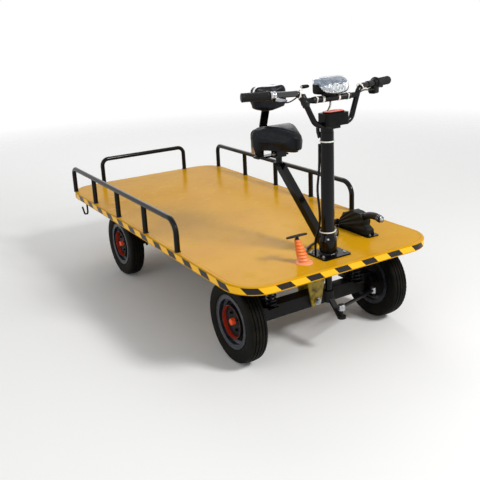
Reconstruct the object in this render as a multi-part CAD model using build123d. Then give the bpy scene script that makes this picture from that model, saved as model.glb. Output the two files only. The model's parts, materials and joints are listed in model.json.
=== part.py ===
from build123d import *
import os
from math import cos, radians, sin, tan

# Electric four-wheel flatbed cart. Millimetres, +X forward, +Y to the vehicle's left, +Z up.
# The origin is on the ground under the centre of the deck.

# Deck: a rimmed tray of folded sheet with an inset top sheet
deck_length = 2000.0
deck_width = 1000.0
deck_top = 420.0
deck_corner_radius = 145.0
skirt_depth = 35.0
sheet_thickness = 3.0
rim_width = 15.0
rim_edge_radius = 6.0
rim_seam = 1.0
front_end = deck_length / 2
rear_end = -deck_length / 2

# Where the axles and the column stand, from the ends of the deck
column_setback = 135.0
axle_behind_column = 128.0
rear_axle_setback = 500.0
column_x = front_end - column_setback
front_axle_x = column_x - axle_behind_column
rear_axle_x = rear_end + rear_axle_setback

# Frame under the deck
sill_size = 30.0
rail_section_width = 50.0
rail_section_height = 60.0
rail_centre_y = 232.0
rail_front_gap = 25.0
rail_rear_setback = 100.0
member_width = 30.0
rear_member_setback = 170.0
front_member_gap = 267.0
plain_member_count = 5
axle_member_width = 100.0
column_member_width = 60.0

# Guard rails of round tube
guard_tube_radius = 12.5
guard_edge_inset = 13.0
guard_height = 140.0
side_guard_rear_setback = 103.0
side_guard_front_setback = 556.0
side_guard_post_count = 5
side_guard_rear_bend = 40.0
side_guard_front_bend = 65.0
rear_guard_half_span = 278.0
rear_guard_height = 145.0
rear_guard_bend = 40.0

# Wheels
tyre_radius = 178.0
tyre_width = 80.0
tyre_shoulder_drop = 8.0
tyre_crown_step = 4.0
tyre_lip = 1.0
rim_flange_radius = 116.0
rim_bead_radius = 101.0
rim_well_radius = 88.0
rim_half_width = 34.0
rim_thickness = 3.0
rim_well_half = 11.0
rim_well_slope = 5.0
disc_thickness = 4.0
disc_offset = -3.0
dish_wall = 4.0
dish_end = 28.0
bead_clearance = 0.3
hub_radius = 25.0
hub_inner_end = -38.0
hub_outer_end = 6.0
hub_boss_radius = 14.0
hub_boss_end = 30.0
stub_radius = 12.5
stub_shoulder = 6.0
running_clearance = 0.05
front_track_half = 375.0
rear_track_half = 360.0
hub_gap = 1.0

# Front axle, kingpins and steering arms
axle_beam_size = 60.0
kingpin_y = 290.0
kingpin_radius = 10.0
sleeve_radius = 22.0
sleeve_height = 70.0
beam_end_y = 275.0
yoke_plate = 10.0
yoke_gap = 2.0
yoke_half_length = 22.0
yoke_wall_y = 322.0
steering_arm = 85.0
steering_arm_width = 22.0
tie_arm = 90.0
stud_radius = 6.0
joint_eye_radius = 14.0
joint_housing_height = 24.0
joint_lift = 13.0
drop_joint_lift = 26.0
open_pivot_clearance = 1.5
link_rod_radius = 8.0
drop_boss_height = 46.0
drop_boss_wall = 8.0
drop_boss_cap = 4.0
drop_arm_high = 34.0
drop_arm_low = 16.0
drop_arm_half_width = 12.0
drop_pad_drop = 18.0
drop_pad_thickness = 10.0
drop_pad_rim = 4.0
drop_pad_heel = 12.0
drop_pad_toe = 8.0
spring_seat_thickness = 6.0
spring_seat_length = 130.0
spring_seat_width = 44.0
spring_offset_x = 40.0
spring_outer_radius = 22.0
spring_wire_radius = 5.0
spring_turns = 5
pivot_bolt_radius = 10.0
pivot_bolt_reach = 62.0
pivot_plate_offset = 42.0
pivot_plate_thickness = 8.0
pivot_plate_top_half = 70.0
pivot_plate_bottom_half = 22.0

# Rear axle, springs, drive and battery
axle_tube_radius = 30.0
backing_plate_radius = 85.0
backing_plate_thickness = 6.0
rear_drum_gap = 5.0
differential_radius = 72.0
differential_half_width = 42.0
differential_y = 60.0
motor_radius = 78.0
motor_flange_step = 8.0
motor_length = 150.0
motor_gap_y = 20.0
motor_forward = 130.0
motor_lift = 30.0
leaf_width = 45.0
leaf_thickness = 7.0
leaf_half_span = 290.0
leaf_eye_rise = 62.0
leaf_count = 3
leaf_step = 75.0
leaf_eye_radius = 12.0
hanger_width = 60.0
hanger_cheek = 5.0
battery_length = 500.0
battery_width = 390.0
battery_height = 137.0
battery_shift = 31.5
battery_corner = 12.0
battery_drop = 5.0
strap_width = 40.0
strap_thickness = 5.0
strap_offset_x = 160.0
hook_setback = 260.0
hook_drop = 70.0
hook_run = 60.0
hook_dip = 16.0
hook_tip_run = 30.0
hook_tip_rise = 36.0
hook_bends = (22.0, 16.0)
hook_radius = 5.0

# Steering column
base_plate_length = 120.0
base_plate_width = 140.0
base_plate_thickness = 7.0
base_plate_shift = 7.0
base_plate_corner = 10.0
socket_radius = 36.5
socket_height = 55.0
socket_flare_height = 23.0
socket_flare_lip = 1.0
column_radius = 27.0
column_bore_radius = 23.0
column_top = 895.0
collar_radius = 27.0
collar_height = 35.0
shaft_radius = 15.0
shaft_bottom = 212.0
fit_gap = 0.1
clear_hole = 5.0
stem_radius = 26.0
stem_gap = 0.5
clamp_front = 56.0
clamp_width = 44.0
clamp_height = 36.0

# Handlebar, left side, as x ahead of the column, y and z
bar_radius = 11.0
bar_end_place = (-45.0, 357.0, 1095.0)
bar_shoulder_place = (24.0, 143.0, 1095.0)
bar_foot_place = (40.0, 85.0, 967.0)
bar_shoulder_bend = 42.0
bar_foot_bend = 38.0
crossbar_radius = 11.0
crossbar_z = 1064.0

# Grips and what is clamped beside them, as distances inwards from the bar's end
grip_radius = 17.5
left_grip_length = 93.0
right_grip_length = 100.0
grip_end_wall = 4.0
control_gap = 4.0
clamp_ring_start = 109.0
clamp_ring_length = 21.0
clamp_ring_radius = 14.0
clamp_ring_groove = 12.5
clamp_ring_groove_width = 4.0

# Headlight, switch box and controls
headlight_width = 132.0
headlight_height = 66.0
headlight_depth = 73.0
headlight_back = -3.0
headlight_centre_z = 1113.0
headlight_round = 25.0
headlight_edge = 12.0
lens_back_z = 1127.0
lens_front_z = 1084.0
bracket_half_length = 12.0
bracket_half_width = 16.0
bracket_bite = 3.0
switch_box_back = 10.0
switch_box_depth = 60.0
switch_box_width = 111.0
switch_box_height = 48.0
switch_box_bottom = 962.0
switch_box_corner = 10.0
switch_cover_height = 5.0
switch_cover_inset = 16.0
control_block_width = 24.0
control_block_depth = 40.0
control_block_height = 60.0
control_block_corner = 8.0
lever_radius = 5.0
lever_forward = 10.0
lever_drop = 22.0
lever_end = 42.0
blade_forward = 5.0
blade_start = (245.0, 1083.0)
blade_end = (192.0, 1070.0)
blade_height = 14.0
blade_thickness = 5.0
blade_post_radius = 4.0
pod_place = (5.0, 108.0, 1116.0)
pod_length = 36.0
pod_height = 17.0
pod_depth = 14.0
pod_round = 6.0
pod_stalk_radius = 2.5
pod_stalk_foot = (21.0, 138.0, 1094.0)

# Saddle and backrest
strut_size = 32.0
strut_foot_setback = 49.0
strut_foot_z = 479.0
strut_head_setback = 340.0
strut_head_z = 751.0
strut_overrun = 60.0
post_radius = 14.0
post_clamp_half = 24.0
post_clamp_height = 26.0
post_clamp_rise = 10.0
coil_arm_rise = 18.0
coil_arm_thickness = 8.0
coil_arm_half_width = 14.0
coil_setback = 62.0
coil_spread = 62.0
coil_seat_half = 20.0
saddle_coil_turns = 3
saddle_bottom = 822.0
saddle_rear_setback = 435.0
saddle_nose_setback = 189.0
saddle_half_width = 112.0
saddle_rear_radius = 56.0
saddle_nose_radius = 36.0
saddle_rear_top = 880.0
saddle_crest_top = 915.0
saddle_crest_run = 115.0
saddle_neck_top = 897.0
saddle_neck_run = 16.0
saddle_nose_top = 886.0
saddle_plate_thickness = 6.0
saddle_plate_inset = 18.0
backrest_width = 164.0
backrest_top_width = 154.0
backrest_low_width = 142.0
backrest_foot_width = 20.0
backrest_height = 104.0
backrest_waist_drop = 11.0
backrest_low_rise = 12.0
backrest_thickness = 48.0
backrest_centre_z = 1028.0
backrest_front_setback = 384.0
backrest_corner = 24.0
backrest_edge = 12.0
backrest_bar_width = 40.0
backrest_bar_thickness = 6.0
backrest_bar_overhang = 25.0
backrest_bar_foot = 60.0
backrest_bar_knee_z = 903.0
backrest_bar_seat_z = 968.0
backrest_bar_top_rise = 35.0

# Pedal and handbrake
boot_forward = 20.0
boot_y = -145.0
boot_base_radius = 37.0
boot_top_radius = 12.0
boot_height = 100.0
boot_lean = 18.0
boot_pleats = 5
boot_waist = 0.8
pedal_arm_share = 0.6
pedal_pad_width = 93.0
pedal_pad_length = 45.0
pedal_pad_thickness = 7.0
pedal_pad_z = 535.0
pedal_pad_shift = 22.0
handbrake_plate_setback = 265.0
handbrake_plate_length = 225.0
handbrake_plate_width = 66.0
handbrake_plate_thickness = 5.0
handbrake_plate_corner = 10.0
handbrake_y = 288.0
gaiter_width = 52.0
gaiter_round = 8.0
# distance behind the column, height above the handbrake plate
gaiter_profile = (
    (265.0, 0.0),
    (265.0, 13.0),
    (226.0, 70.0),
    (164.0, 95.0),
    (106.0, 88.0),
    (86.0, 61.0),
    (87.0, 37.0),
    (62.0, 19.0),
    (62.0, 0.0),
)
# distance behind the column, height
lever_root = (150.0, 496.0)
lever_grip_start = (91.0, 504.0)
lever_grip_crown = (41.0, 516.0)
lever_grip_end = (-2.0, 510.0)
lever_neck_radius = 8.0
lever_grip_radius = 16.0
lever_button_radius = 9.0
lever_button_length = 11.0

# Cables held along the column and on the deck
column_cable_radius = 5.0
column_cable_angle = 215.0
deck_cable_radius = 6.0
cable_gap = 0.3
arc_share = 0.45
# how far the cable stands off the column, height
column_cable_route = (
    (22.2, 427.0),
    (22.2, 475.0),
    (1.0, 545.0),
    (2.0, 610.0),
    (12.0, 690.0),
    (1.0, 780.0),
    (0.0, 880.0),
)
# distance behind the column, y
deck_cable_route = (
    (290.0, 268.0),
    (259.0, 242.0),
    (191.0, 208.0),
    (127.0, 151.0),
    (137.0, 51.0),
    (112.0, -4.0),
    (78.0, -58.0),
    (54.0, -89.0),
)

deck_sheet_bottom = deck_top - sheet_thickness
skirt_bottom = deck_top - skirt_depth
sill_bottom = deck_sheet_bottom - sill_size
rail_bottom = sill_bottom - rail_section_height
wheel_z = tyre_radius
plate_top = deck_top + base_plate_thickness
socket_top = plate_top + socket_height
battery_centre_x = (front_axle_x + rear_axle_x) / 2 + battery_shift
bar_end = (column_x + bar_end_place[0], bar_end_place[1], bar_end_place[2])
bar_shoulder = (column_x + bar_shoulder_place[0], bar_shoulder_place[1], bar_shoulder_place[2])
bar_foot = (column_x + bar_foot_place[0], bar_foot_place[1], bar_foot_place[2])
bar_centre_z = bar_foot[2]
headlight_back_x = column_x + headlight_back
strut_head_x = column_x - strut_head_setback
saddle_rear_x = column_x - saddle_rear_setback
saddle_nose_x = column_x - saddle_nose_setback
saddle_plate_low = saddle_bottom - saddle_plate_thickness
backrest_front_x = column_x - backrest_front_setback
handbrake_base = deck_top + handbrake_plate_thickness


def block(x_range, y_range, z_range):
    """Box between two corners."""
    sizes = [high - low for low, high in (x_range, y_range, z_range)]
    middle = [(high + low) / 2 for low, high in (x_range, y_range, z_range)]
    return Pos(*middle) * Box(*sizes)


def upright(x, y, low, high, radius):
    """Round bar standing between two heights."""
    return Pos(x, y, (low + high) / 2) * Cylinder(radius, high - low)


def round_bar(start, end, radius):
    """Round bar between two points."""
    run = Vector(*end) - Vector(*start)
    foot = Plane(origin=start, z_dir=run)
    return extrude(foot * Circle(radius), run.length)


def bent_tube(points, bends, radius):
    """Tube along straight runs joined by tangent arcs."""
    path = FilletPolyline(*points, radius=bends)
    return sweep(Plane(origin=path @ 0, z_dir=path % 0) * Circle(radius), path=path)


def held_cable(points, radius):
    """Cable whose arcs each take the same share of the shorter run beside them."""
    corners = [Vector(*point) for point in points]
    bends = []
    for before, corner, after in zip(corners, corners[1:], corners[2:]):
        first, second = corner - before, after - corner
        half_turn = radians(first.get_angle(second)) / 2
        bends.append(arc_share * min(first.length, second.length) / tan(half_turn))
    return bent_tube(points, bends, radius)


def side_profile(points, width):
    """Plate with an outline in the XZ plane, centred on y = 0."""
    outline = [(x, 0, z) for x, z in points]
    face = make_face(Polyline(*outline, close=True))
    return extrude(face, width / 2, dir=(0, 1, 0), both=True)


def mirrored(shape):
    return mirror(shape, Plane.XZ)


def turned(points, closed=True):
    """Solid of revolution about the Y axis from pairs of y and radius."""
    face = make_face(Plane.YZ * Polyline(*points, close=closed))
    return revolve(face, Axis.Y)


# Deck and frame


def deck_outline(inset):
    return RectangleRounded(
        deck_length - 2 * inset, deck_width - 2 * inset, deck_corner_radius - inset
    )


def deck_plate():
    sheet = extrude(Pos(0, 0, deck_sheet_bottom) * deck_outline(rim_width + rim_seam), sheet_thickness)
    return sheet - upright(column_x, 0, deck_sheet_bottom, deck_top, shaft_radius + clear_hole)


def deck_skirt():
    tray = extrude(Pos(0, 0, skirt_bottom) * deck_outline(0), skirt_depth)
    tray = fillet(tray.edges().group_by(Axis.Z)[-1], rim_edge_radius)
    hollow = extrude(
        Pos(0, 0, skirt_bottom) * deck_outline(sheet_thickness), skirt_depth - sheet_thickness
    )
    window = extrude(Pos(0, 0, skirt_bottom) * deck_outline(rim_width), skirt_depth)
    return tray - hollow - window


def frame_rails():
    """Edge sills behind the skirt and the two chassis rails."""
    sill_z = (sill_bottom, deck_sheet_bottom)
    pieces = []
    side = deck_width / 2 - sheet_thickness
    end = front_end - sheet_thickness
    reach_x = deck_length / 2 - deck_corner_radius
    reach_y = deck_width / 2 - deck_corner_radius
    rail_y = (rail_centre_y - rail_section_width / 2, rail_centre_y + rail_section_width / 2)
    left = block((-reach_x, reach_x), (side - sill_size, side), sill_z)
    rail_x = (rear_end + rail_rear_setback, column_x - rail_front_gap)
    rail = block(rail_x, rail_y, (rail_bottom, sill_bottom))
    pieces += [left, mirrored(left), rail, mirrored(rail)]
    front = block((end - sill_size, end), (-reach_y, reach_y), sill_z)
    pieces += [front, mirror(front, Plane.YZ)]
    return Compound(pieces)


def evenly(first, last, count):
    """Places at even steps from the first to the last."""
    return [first + (last - first) * step / (count - 1) for step in range(count)]


def cross_member_set():
    reach = deck_width / 2 - sheet_thickness - sill_size
    rear, front = rear_end + rear_member_setback, front_axle_x - front_member_gap
    members = [(x, member_width) for x in evenly(rear, front, plain_member_count)]
    members += [(front_axle_x, axle_member_width), (column_x, column_member_width)]
    pieces = []
    for centre_x, width in members:
        member = block(
            (centre_x - width / 2, centre_x + width / 2), (-reach, reach), (sill_bottom, deck_sheet_bottom)
        )
        if abs(centre_x - column_x) < width / 2:
            member -= upright(column_x, 0, sill_bottom, deck_sheet_bottom, shaft_radius + clear_hole)
        pieces.append(member)
    return Compound(pieces)


def side_guard():
    """Left guard rail: one bent tube with three posts under it."""
    y = deck_width / 2 - guard_edge_inset
    top = deck_top + guard_height
    first, last = rear_end + side_guard_rear_setback, front_end - side_guard_front_setback
    corners = [(first, y, deck_top), (first, y, top), (last, y, top), (last, y, deck_top)]
    rail = bent_tube(corners, [side_guard_rear_bend, side_guard_front_bend], guard_tube_radius)
    for x in evenly(first, last, side_guard_post_count)[1:-1]:
        rail += upright(x, y, deck_top, top, guard_tube_radius)
    return rail


def rear_guard():
    x = rear_end + guard_edge_inset
    top = deck_top + rear_guard_height
    span = rear_guard_half_span
    corners = [(x, -span, deck_top), (x, -span, top), (x, span, top), (x, span, deck_top)]
    return bent_tube(corners, [rear_guard_bend, rear_guard_bend], guard_tube_radius)


# Wheels, all drawn for the left side with the outer face towards +Y


def tyre():
    bead = rim_bead_radius + bead_clearance
    inner = rim_half_width - rim_thickness - bead_clearance
    side = tyre_width / 2
    edge = side - tyre_crown_step
    shoulder = tyre_radius - tyre_shoulder_drop
    belly = (bead + shoulder) / 2 + tyre_shoulder_drop
    lip = rim_flange_radius + tyre_lip
    wall = ThreePointArc((inner, lip), (side, belly), (edge, shoulder))
    crown = ThreePointArc((edge, shoulder), (0, tyre_radius), (-edge, shoulder))
    other = ThreePointArc((-edge, shoulder), (-side, belly), (-inner, lip))
    foot = Polyline((-inner, lip), (-inner, bead), (inner, bead), (inner, lip))
    return revolve(make_face(Plane.YZ * Curve([wall, crown, other, foot])), Axis.Y)


def wheel_rim():
    """Steel rim with a drop well, a deep dished disc and the hub with its end boss."""
    t, half, well = rim_thickness, rim_half_width, rim_well_half
    slope = well + rim_well_slope
    outside = [
        (-half, rim_flange_radius),
        (t - half, rim_flange_radius),
        (t - half, rim_bead_radius),
        (-slope, rim_bead_radius),
        (-well, rim_well_radius),
    ]
    inside = [
        (well - t / 2, rim_well_radius - t),
        (slope - t / 2, rim_bead_radius - t),
        (half, rim_bead_radius - t),
    ]
    profile = outside + [(-y, r) for y, r in reversed(outside)]
    profile += [(y, r) for y, r in reversed(inside)] + [(-y, r) for y, r in inside]
    rim = turned(profile)
    floor, dish = disc_offset + disc_thickness, rim_well_radius - t
    rim += turned(
        [
            (disc_offset, hub_radius),
            (disc_offset, dish),
            (dish_end, dish),
            (dish_end, dish - dish_wall),
            (floor, dish - dish_wall),
            (floor, hub_radius),
        ]
    )
    bore = stub_radius + running_clearance
    hub = turned(
        [
            (hub_inner_end, bore),
            (hub_inner_end, hub_radius),
            (hub_outer_end, hub_radius),
            (hub_outer_end, hub_boss_radius),
            (hub_boss_end, hub_boss_radius),
            (hub_boss_end, 0),
            (hub_outer_end, 0),
            (hub_outer_end, bore),
        ]
    )
    return (rim + hub).clean()


# Front axle and steering gear


def beam_z():
    return (wheel_z - axle_beam_size / 2, wheel_z + axle_beam_size / 2)


def front_axle():
    half = axle_beam_size / 2
    beam = block((front_axle_x - half, front_axle_x + half), (-beam_end_y, beam_end_y), beam_z())
    low, high = wheel_z - sleeve_height / 2, wheel_z + sleeve_height / 2
    seat_low = beam_z()[1]
    for side in (-1, 1):
        y = side * kingpin_y
        beam += upright(front_axle_x, y, low, high, sleeve_radius)
        beam -= upright(front_axle_x, y, low, high, kingpin_radius + running_clearance)
        beam += block(
            (front_axle_x - spring_seat_length / 2, front_axle_x + spring_seat_length / 2),
            (side * rail_centre_y - spring_seat_width / 2, side * rail_centre_y + spring_seat_width / 2),
            (seat_low, seat_low + spring_seat_thickness),
        )
    bolt_start = (front_axle_x - pivot_bolt_reach, 0, wheel_z)
    bolt_end = (front_axle_x + pivot_bolt_reach, 0, wheel_z)
    return beam + round_bar(bolt_start, bolt_end, pivot_bolt_radius)


def axle_bracket():
    """Two tapering plates that hold the centre pivot bolt of the axle."""
    plates = []
    for side in (-1, 1):
        centre = front_axle_x + side * pivot_plate_offset
        outline = [
            (-pivot_plate_top_half, sill_bottom),
            (pivot_plate_top_half, sill_bottom),
            (pivot_plate_bottom_half, wheel_z - pivot_plate_bottom_half),
            (-pivot_plate_bottom_half, wheel_z - pivot_plate_bottom_half),
        ]
        face = make_face(Polyline(*[(centre, y, z) for y, z in outline], close=True))
        plate = extrude(face, pivot_plate_thickness / 2, dir=(1, 0, 0), both=True)
        reach = pivot_plate_offset + pivot_plate_thickness
        bolt = round_bar(
            (front_axle_x - reach, 0, wheel_z),
            (front_axle_x + reach, 0, wheel_z),
            pivot_bolt_radius + fit_gap,
        )
        plates.append(plate - bolt)
    return Compound(plates)


def coil(height, turns):
    """Spring standing on z = 0, its turns drawn as rings that touch."""
    ring = height / turns / 2
    waist = spring_outer_radius - spring_wire_radius
    outline = [Line((0, 0), (waist, 0))]
    for turn in range(turns):
        base = turn * 2 * ring
        outline.append(
            ThreePointArc(
                (waist, base),
                (spring_outer_radius, base + ring),
                (waist, base + 2 * ring),
            )
        )
    outline.append(Line((waist, height), (0, height)))
    outline.append(Line((0, height), (0, 0)))
    return revolve(make_face(Plane.XZ * Curve(outline)), Axis.Z)


def front_springs():
    low = beam_z()[1] + spring_seat_thickness
    coils = []
    for side in (-1, 1):
        for end in (-1, 1):
            place = Pos(front_axle_x + end * spring_offset_x, side * rail_centre_y, low)
            coils.append(place * coil(rail_bottom - low, spring_turns))
    return Compound(coils)


def arm_level():
    low = wheel_z - sleeve_height / 2 - yoke_gap - yoke_plate
    return (low, low + yoke_plate)


def housing_level(arm_top):
    return (arm_top + joint_lift, arm_top + joint_lift + joint_housing_height)


def knuckle(front_arm):
    """Left knuckle: kingpin, yoke, stub axle and the arms of the steering linkage."""
    low, low_top = arm_level()
    high = 2 * wheel_z - low
    yoke_x = (front_axle_x - yoke_half_length, front_axle_x + yoke_half_length)
    outer_y = yoke_wall_y + yoke_plate
    shape = block(yoke_x, (yoke_wall_y, outer_y), (low, high))
    for plate_low in (low, high - yoke_plate):
        shape += block(yoke_x, (kingpin_y, outer_y), (plate_low, plate_low + yoke_plate))
        shape += upright(front_axle_x, kingpin_y, plate_low, plate_low + yoke_plate, sleeve_radius)
    shape += upright(front_axle_x, kingpin_y, low, high, kingpin_radius)
    stub_end = front_track_half + hub_outer_end - hub_gap
    shape += round_bar((front_axle_x, outer_y, wheel_z), (front_axle_x, stub_end, wheel_z), stub_radius)
    shoulder_end = front_track_half + hub_inner_end - hub_gap
    shape += round_bar(
        (front_axle_x, outer_y, wheel_z), (front_axle_x, shoulder_end, wheel_z), stub_radius + stub_shoulder
    )
    reaches = [-tie_arm] + ([steering_arm] if front_arm else [])
    for reach in reaches:
        eye_x = front_axle_x + reach
        shape += block(
            sorted((front_axle_x, eye_x)),
            (kingpin_y - steering_arm_width / 2, kingpin_y + steering_arm_width / 2),
            (low, low_top),
        )
        shape += upright(eye_x, kingpin_y, low, low_top, joint_eye_radius)
        stud_top = housing_level(low_top)[1] - joint_housing_height / 4
        shape += upright(eye_x, kingpin_y, low_top, stud_top, stud_radius)
    return shape


def joint_housing(x, y, level, clearance):
    """Ball joint housing as a round block and the bore that its stud needs."""
    low, high = level
    body = upright(x, y, low, high, joint_eye_radius)
    bore = upright(x, y, low, high, stud_radius + clearance)
    return body, bore


def tie_rod():
    x = front_axle_x - tie_arm
    level = housing_level(arm_level()[1])
    middle = sum(level) / 2
    rod = round_bar((x, -kingpin_y, middle), (x, kingpin_y, middle), link_rod_radius)
    for y, clearance in ((kingpin_y, running_clearance), (-kingpin_y, open_pivot_clearance)):
        body, bore = joint_housing(x, y, level, clearance)
        rod = rod + body - bore
    return rod


def drop_pad_level():
    """Heights of the flat end of the drop arm."""
    low = wheel_z - drop_pad_drop
    return (low, low + drop_pad_thickness)


def drop_joint_level():
    """Heights of the drag link's front housing, lifted so that its rod passes over the drop arm."""
    low = drop_pad_level()[1] + drop_joint_lift
    return (low, low + joint_housing_height)


def drag_link():
    front = (column_x + steering_arm, 0)
    rear = (front_axle_x + steering_arm, kingpin_y)
    front_level = drop_joint_level()
    rear_level = housing_level(arm_level()[1])
    start = (front[0], front[1], sum(front_level) / 2)
    end = (rear[0], rear[1], sum(rear_level) / 2)
    rod = round_bar(start, end, link_rod_radius)
    ends = ((front, front_level, running_clearance), (rear, rear_level, open_pivot_clearance))
    for (x, y), level, clearance in ends:
        body, bore = joint_housing(x, y, level, clearance)
        rod = rod + body - bore
    return rod


def drop_arm():
    """Boss clamped on the shaft, slanted arm and flat pad for the drag link."""
    pad_low, pad_high = drop_pad_level()
    boss_low, boss_high = shaft_bottom, shaft_bottom + drop_boss_height
    boss_radius = shaft_radius + drop_boss_wall
    pad_x = column_x + steering_arm
    slant = [
        (column_x, boss_low + drop_arm_high),
        (column_x, boss_low + drop_arm_low),
        (pad_x - drop_pad_heel, pad_low),
        (pad_x, pad_low),
        (pad_x, pad_high),
        (pad_x - drop_pad_toe, pad_high),
    ]
    arm = side_profile(slant, 2 * drop_arm_half_width)
    arm += upright(pad_x, 0, pad_low, pad_high, joint_eye_radius + drop_pad_rim)
    arm += upright(column_x, 0, boss_low, boss_high, boss_radius)
    arm -= upright(column_x, 0, boss_low, boss_high, shaft_radius + fit_gap)
    arm += upright(column_x, 0, boss_low - drop_boss_cap, boss_low, boss_radius)
    stud_top = drop_joint_level()[1] - joint_housing_height / 4
    return arm + upright(pad_x, 0, pad_high, stud_top, stud_radius)


# Rear axle, springs, drive and battery


def rear_axle():
    plate_y = rear_track_half + hub_inner_end - hub_gap - rear_drum_gap - backing_plate_thickness
    tube = round_bar((rear_axle_x, -plate_y, wheel_z), (rear_axle_x, plate_y, wheel_z), axle_tube_radius)
    case = Pos(rear_axle_x, differential_y, wheel_z) * Rot(90, 0, 0) * Cylinder(
        differential_radius, 2 * differential_half_width
    )
    case = chamfer(case.edges(), differential_half_width / 3)
    axle = tube + case
    for side in (-1, 1):
        plate_end = side * (plate_y + backing_plate_thickness)
        shoulder_end = side * (rear_track_half + hub_inner_end - hub_gap)
        stub_end = side * (rear_track_half + hub_outer_end - hub_gap)
        for start, end, radius in (
            (side * plate_y, plate_end, backing_plate_radius),
            (plate_end, shoulder_end, stub_radius + stub_shoulder),
            (plate_end, stub_end, stub_radius),
        ):
            axle += round_bar((rear_axle_x, start, wheel_z), (rear_axle_x, end, wheel_z), radius)
    return axle


def motor():
    """Drive motor as a plain block beside the differential, on the axle's gear case."""
    x, z = rear_axle_x + motor_forward, wheel_z + motor_lift
    outer = differential_y - differential_half_width - motor_gap_y
    body = round_bar((x, outer - motor_length, z), (x, outer, z), motor_radius)
    lug_high = differential_y + differential_half_width
    case = round_bar((x, outer, z), (x, lug_high, z), motor_radius - motor_flange_step)
    gap = round_bar(
        (rear_axle_x, outer - motor_length, wheel_z),
        (rear_axle_x, lug_high, wheel_z),
        differential_radius + fit_gap,
    )
    return body + case - gap


def leaf_spring():
    """Left leaf spring: stacked leaves that shorten downwards, with rolled eyes."""
    seat = wheel_z + axle_tube_radius
    shape = None
    for leaf in range(leaf_count):
        half = leaf_half_span - leaf * leaf_step
        top = seat + (leaf_count - leaf) * leaf_thickness
        rise = leaf_eye_rise * (half / leaf_half_span) ** 2
        low = top - leaf_thickness
        above = ThreePointArc((-half, top + rise), (0, top), (half, top + rise))
        below = ThreePointArc((half, low + rise), (0, low), (-half, low + rise))
        ends = [Line(above @ 1, below @ 0), Line(below @ 1, above @ 0)]
        strip = make_face(Plane.XZ * Curve([above, ends[0], below, ends[1]]))
        strip = extrude(strip, leaf_width / 2, both=True)
        shape = strip if shape is None else shape + strip
    eye_z = seat + leaf_count * leaf_thickness + leaf_eye_rise - leaf_thickness / 2
    for side in (-1, 1):
        eye = round_bar(
            (side * leaf_half_span, -leaf_width / 2, eye_z),
            (side * leaf_half_span, leaf_width / 2, eye_z),
            leaf_eye_radius,
        )
        shape += eye
    return Pos(rear_axle_x, rail_centre_y, 0) * shape


def leaf_springs():
    left = leaf_spring()
    return Compound([left, mirrored(left)])


def under_brackets():
    """Spring hangers, battery straps and the rope hook under the right edge."""
    eye_z = wheel_z + axle_tube_radius + leaf_count * leaf_thickness + leaf_eye_rise - leaf_thickness / 2
    pieces = []
    for side in (-1, 1):
        for end in (-1, 1):
            x = rear_axle_x + end * leaf_half_span
            inner = rail_centre_y - leaf_width / 2 - fit_gap
            outer = rail_centre_y + leaf_width / 2 + fit_gap
            crown = block(
                (x - hanger_width / 2, x + hanger_width / 2),
                (inner - hanger_cheek, outer + hanger_cheek),
                (rail_bottom - hanger_cheek, rail_bottom),
            )
            for low, high in ((inner - hanger_cheek, inner), (outer, outer + hanger_cheek)):
                crown += block(
                    (x - hanger_width / 4, x + hanger_width / 4),
                    (low, high),
                    (eye_z - leaf_eye_radius, rail_bottom),
                )
            pieces.append(crown if side > 0 else mirrored(crown))
    box_bottom = sill_bottom - battery_drop - battery_height
    half = battery_width / 2
    rail_inner = rail_centre_y - rail_section_width / 2
    for end in (-1, 1):
        x = battery_centre_x + end * strap_offset_x
        span = (x - strap_width / 2, x + strap_width / 2)
        reach = half + strap_thickness
        strap = block(span, (-reach, reach), (box_bottom - strap_thickness, box_bottom))
        for side in (-1, 1):
            wall = sorted((side * half, side * (half + strap_thickness)))
            flange = sorted((side * half, side * (rail_inner + rail_section_width / 2)))
            strap += block(span, wall, (box_bottom, rail_bottom))
            strap += block(span, flange, (rail_bottom - strap_thickness, rail_bottom))
        pieces.append(strap)
    hook_y = -(deck_width / 2 - sheet_thickness - sill_size / 2)
    hook_x, hook_low = rear_end + hook_setback, sill_bottom - hook_drop
    tip_x = hook_x - hook_run
    hook_route = [
        (hook_x, hook_y, sill_bottom),
        (hook_x, hook_y, hook_low),
        (tip_x, hook_y, hook_low - hook_dip),
        (tip_x - hook_tip_run, hook_y, hook_low - hook_dip + hook_tip_rise),
    ]
    hook = bent_tube(hook_route, hook_bends, hook_radius)
    pieces.append(hook)
    return Compound(pieces)


def battery_box():
    top = sill_bottom - battery_drop
    half_x, half_y = battery_length / 2, battery_width / 2
    box = block(
        (battery_centre_x - half_x, battery_centre_x + half_x), (-half_y, half_y), (top - battery_height, top)
    )
    return fillet(box.edges().filter_by(Axis.Z), battery_corner)


# Column, stem and handlebar


def socket_form(extra):
    """Socket round the foot of the column and its short flare, grown by a clearance."""
    wide, narrow = socket_radius + extra, column_radius + socket_flare_lip + extra
    flare = Cone(wide, narrow, socket_flare_height, align=(Align.CENTER, Align.CENTER, Align.MIN))
    return upright(column_x, 0, plate_top, socket_top, wide) + Pos(column_x, 0, socket_top) * flare


def column_base():
    plate = extrude(
        Pos(column_x + base_plate_shift, 0, deck_top)
        * RectangleRounded(base_plate_length, base_plate_width, base_plate_corner),
        base_plate_thickness,
    )
    base = plate + socket_form(0)
    base -= upright(column_x, 0, plate_top, socket_top + socket_flare_height, column_radius + fit_gap)
    return base - upright(column_x, 0, deck_top, plate_top, shaft_radius + running_clearance)


def column_tube():
    foot = plate_top
    tube = upright(column_x, 0, foot, column_top, column_radius)
    tube += upright(column_x, 0, column_top, column_top + collar_height, collar_radius)
    bushing_low = column_top - collar_height
    tube -= upright(column_x, 0, foot, bushing_low, column_bore_radius)
    return tube - upright(
        column_x, 0, bushing_low, column_top + collar_height, shaft_radius + running_clearance
    )


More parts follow.
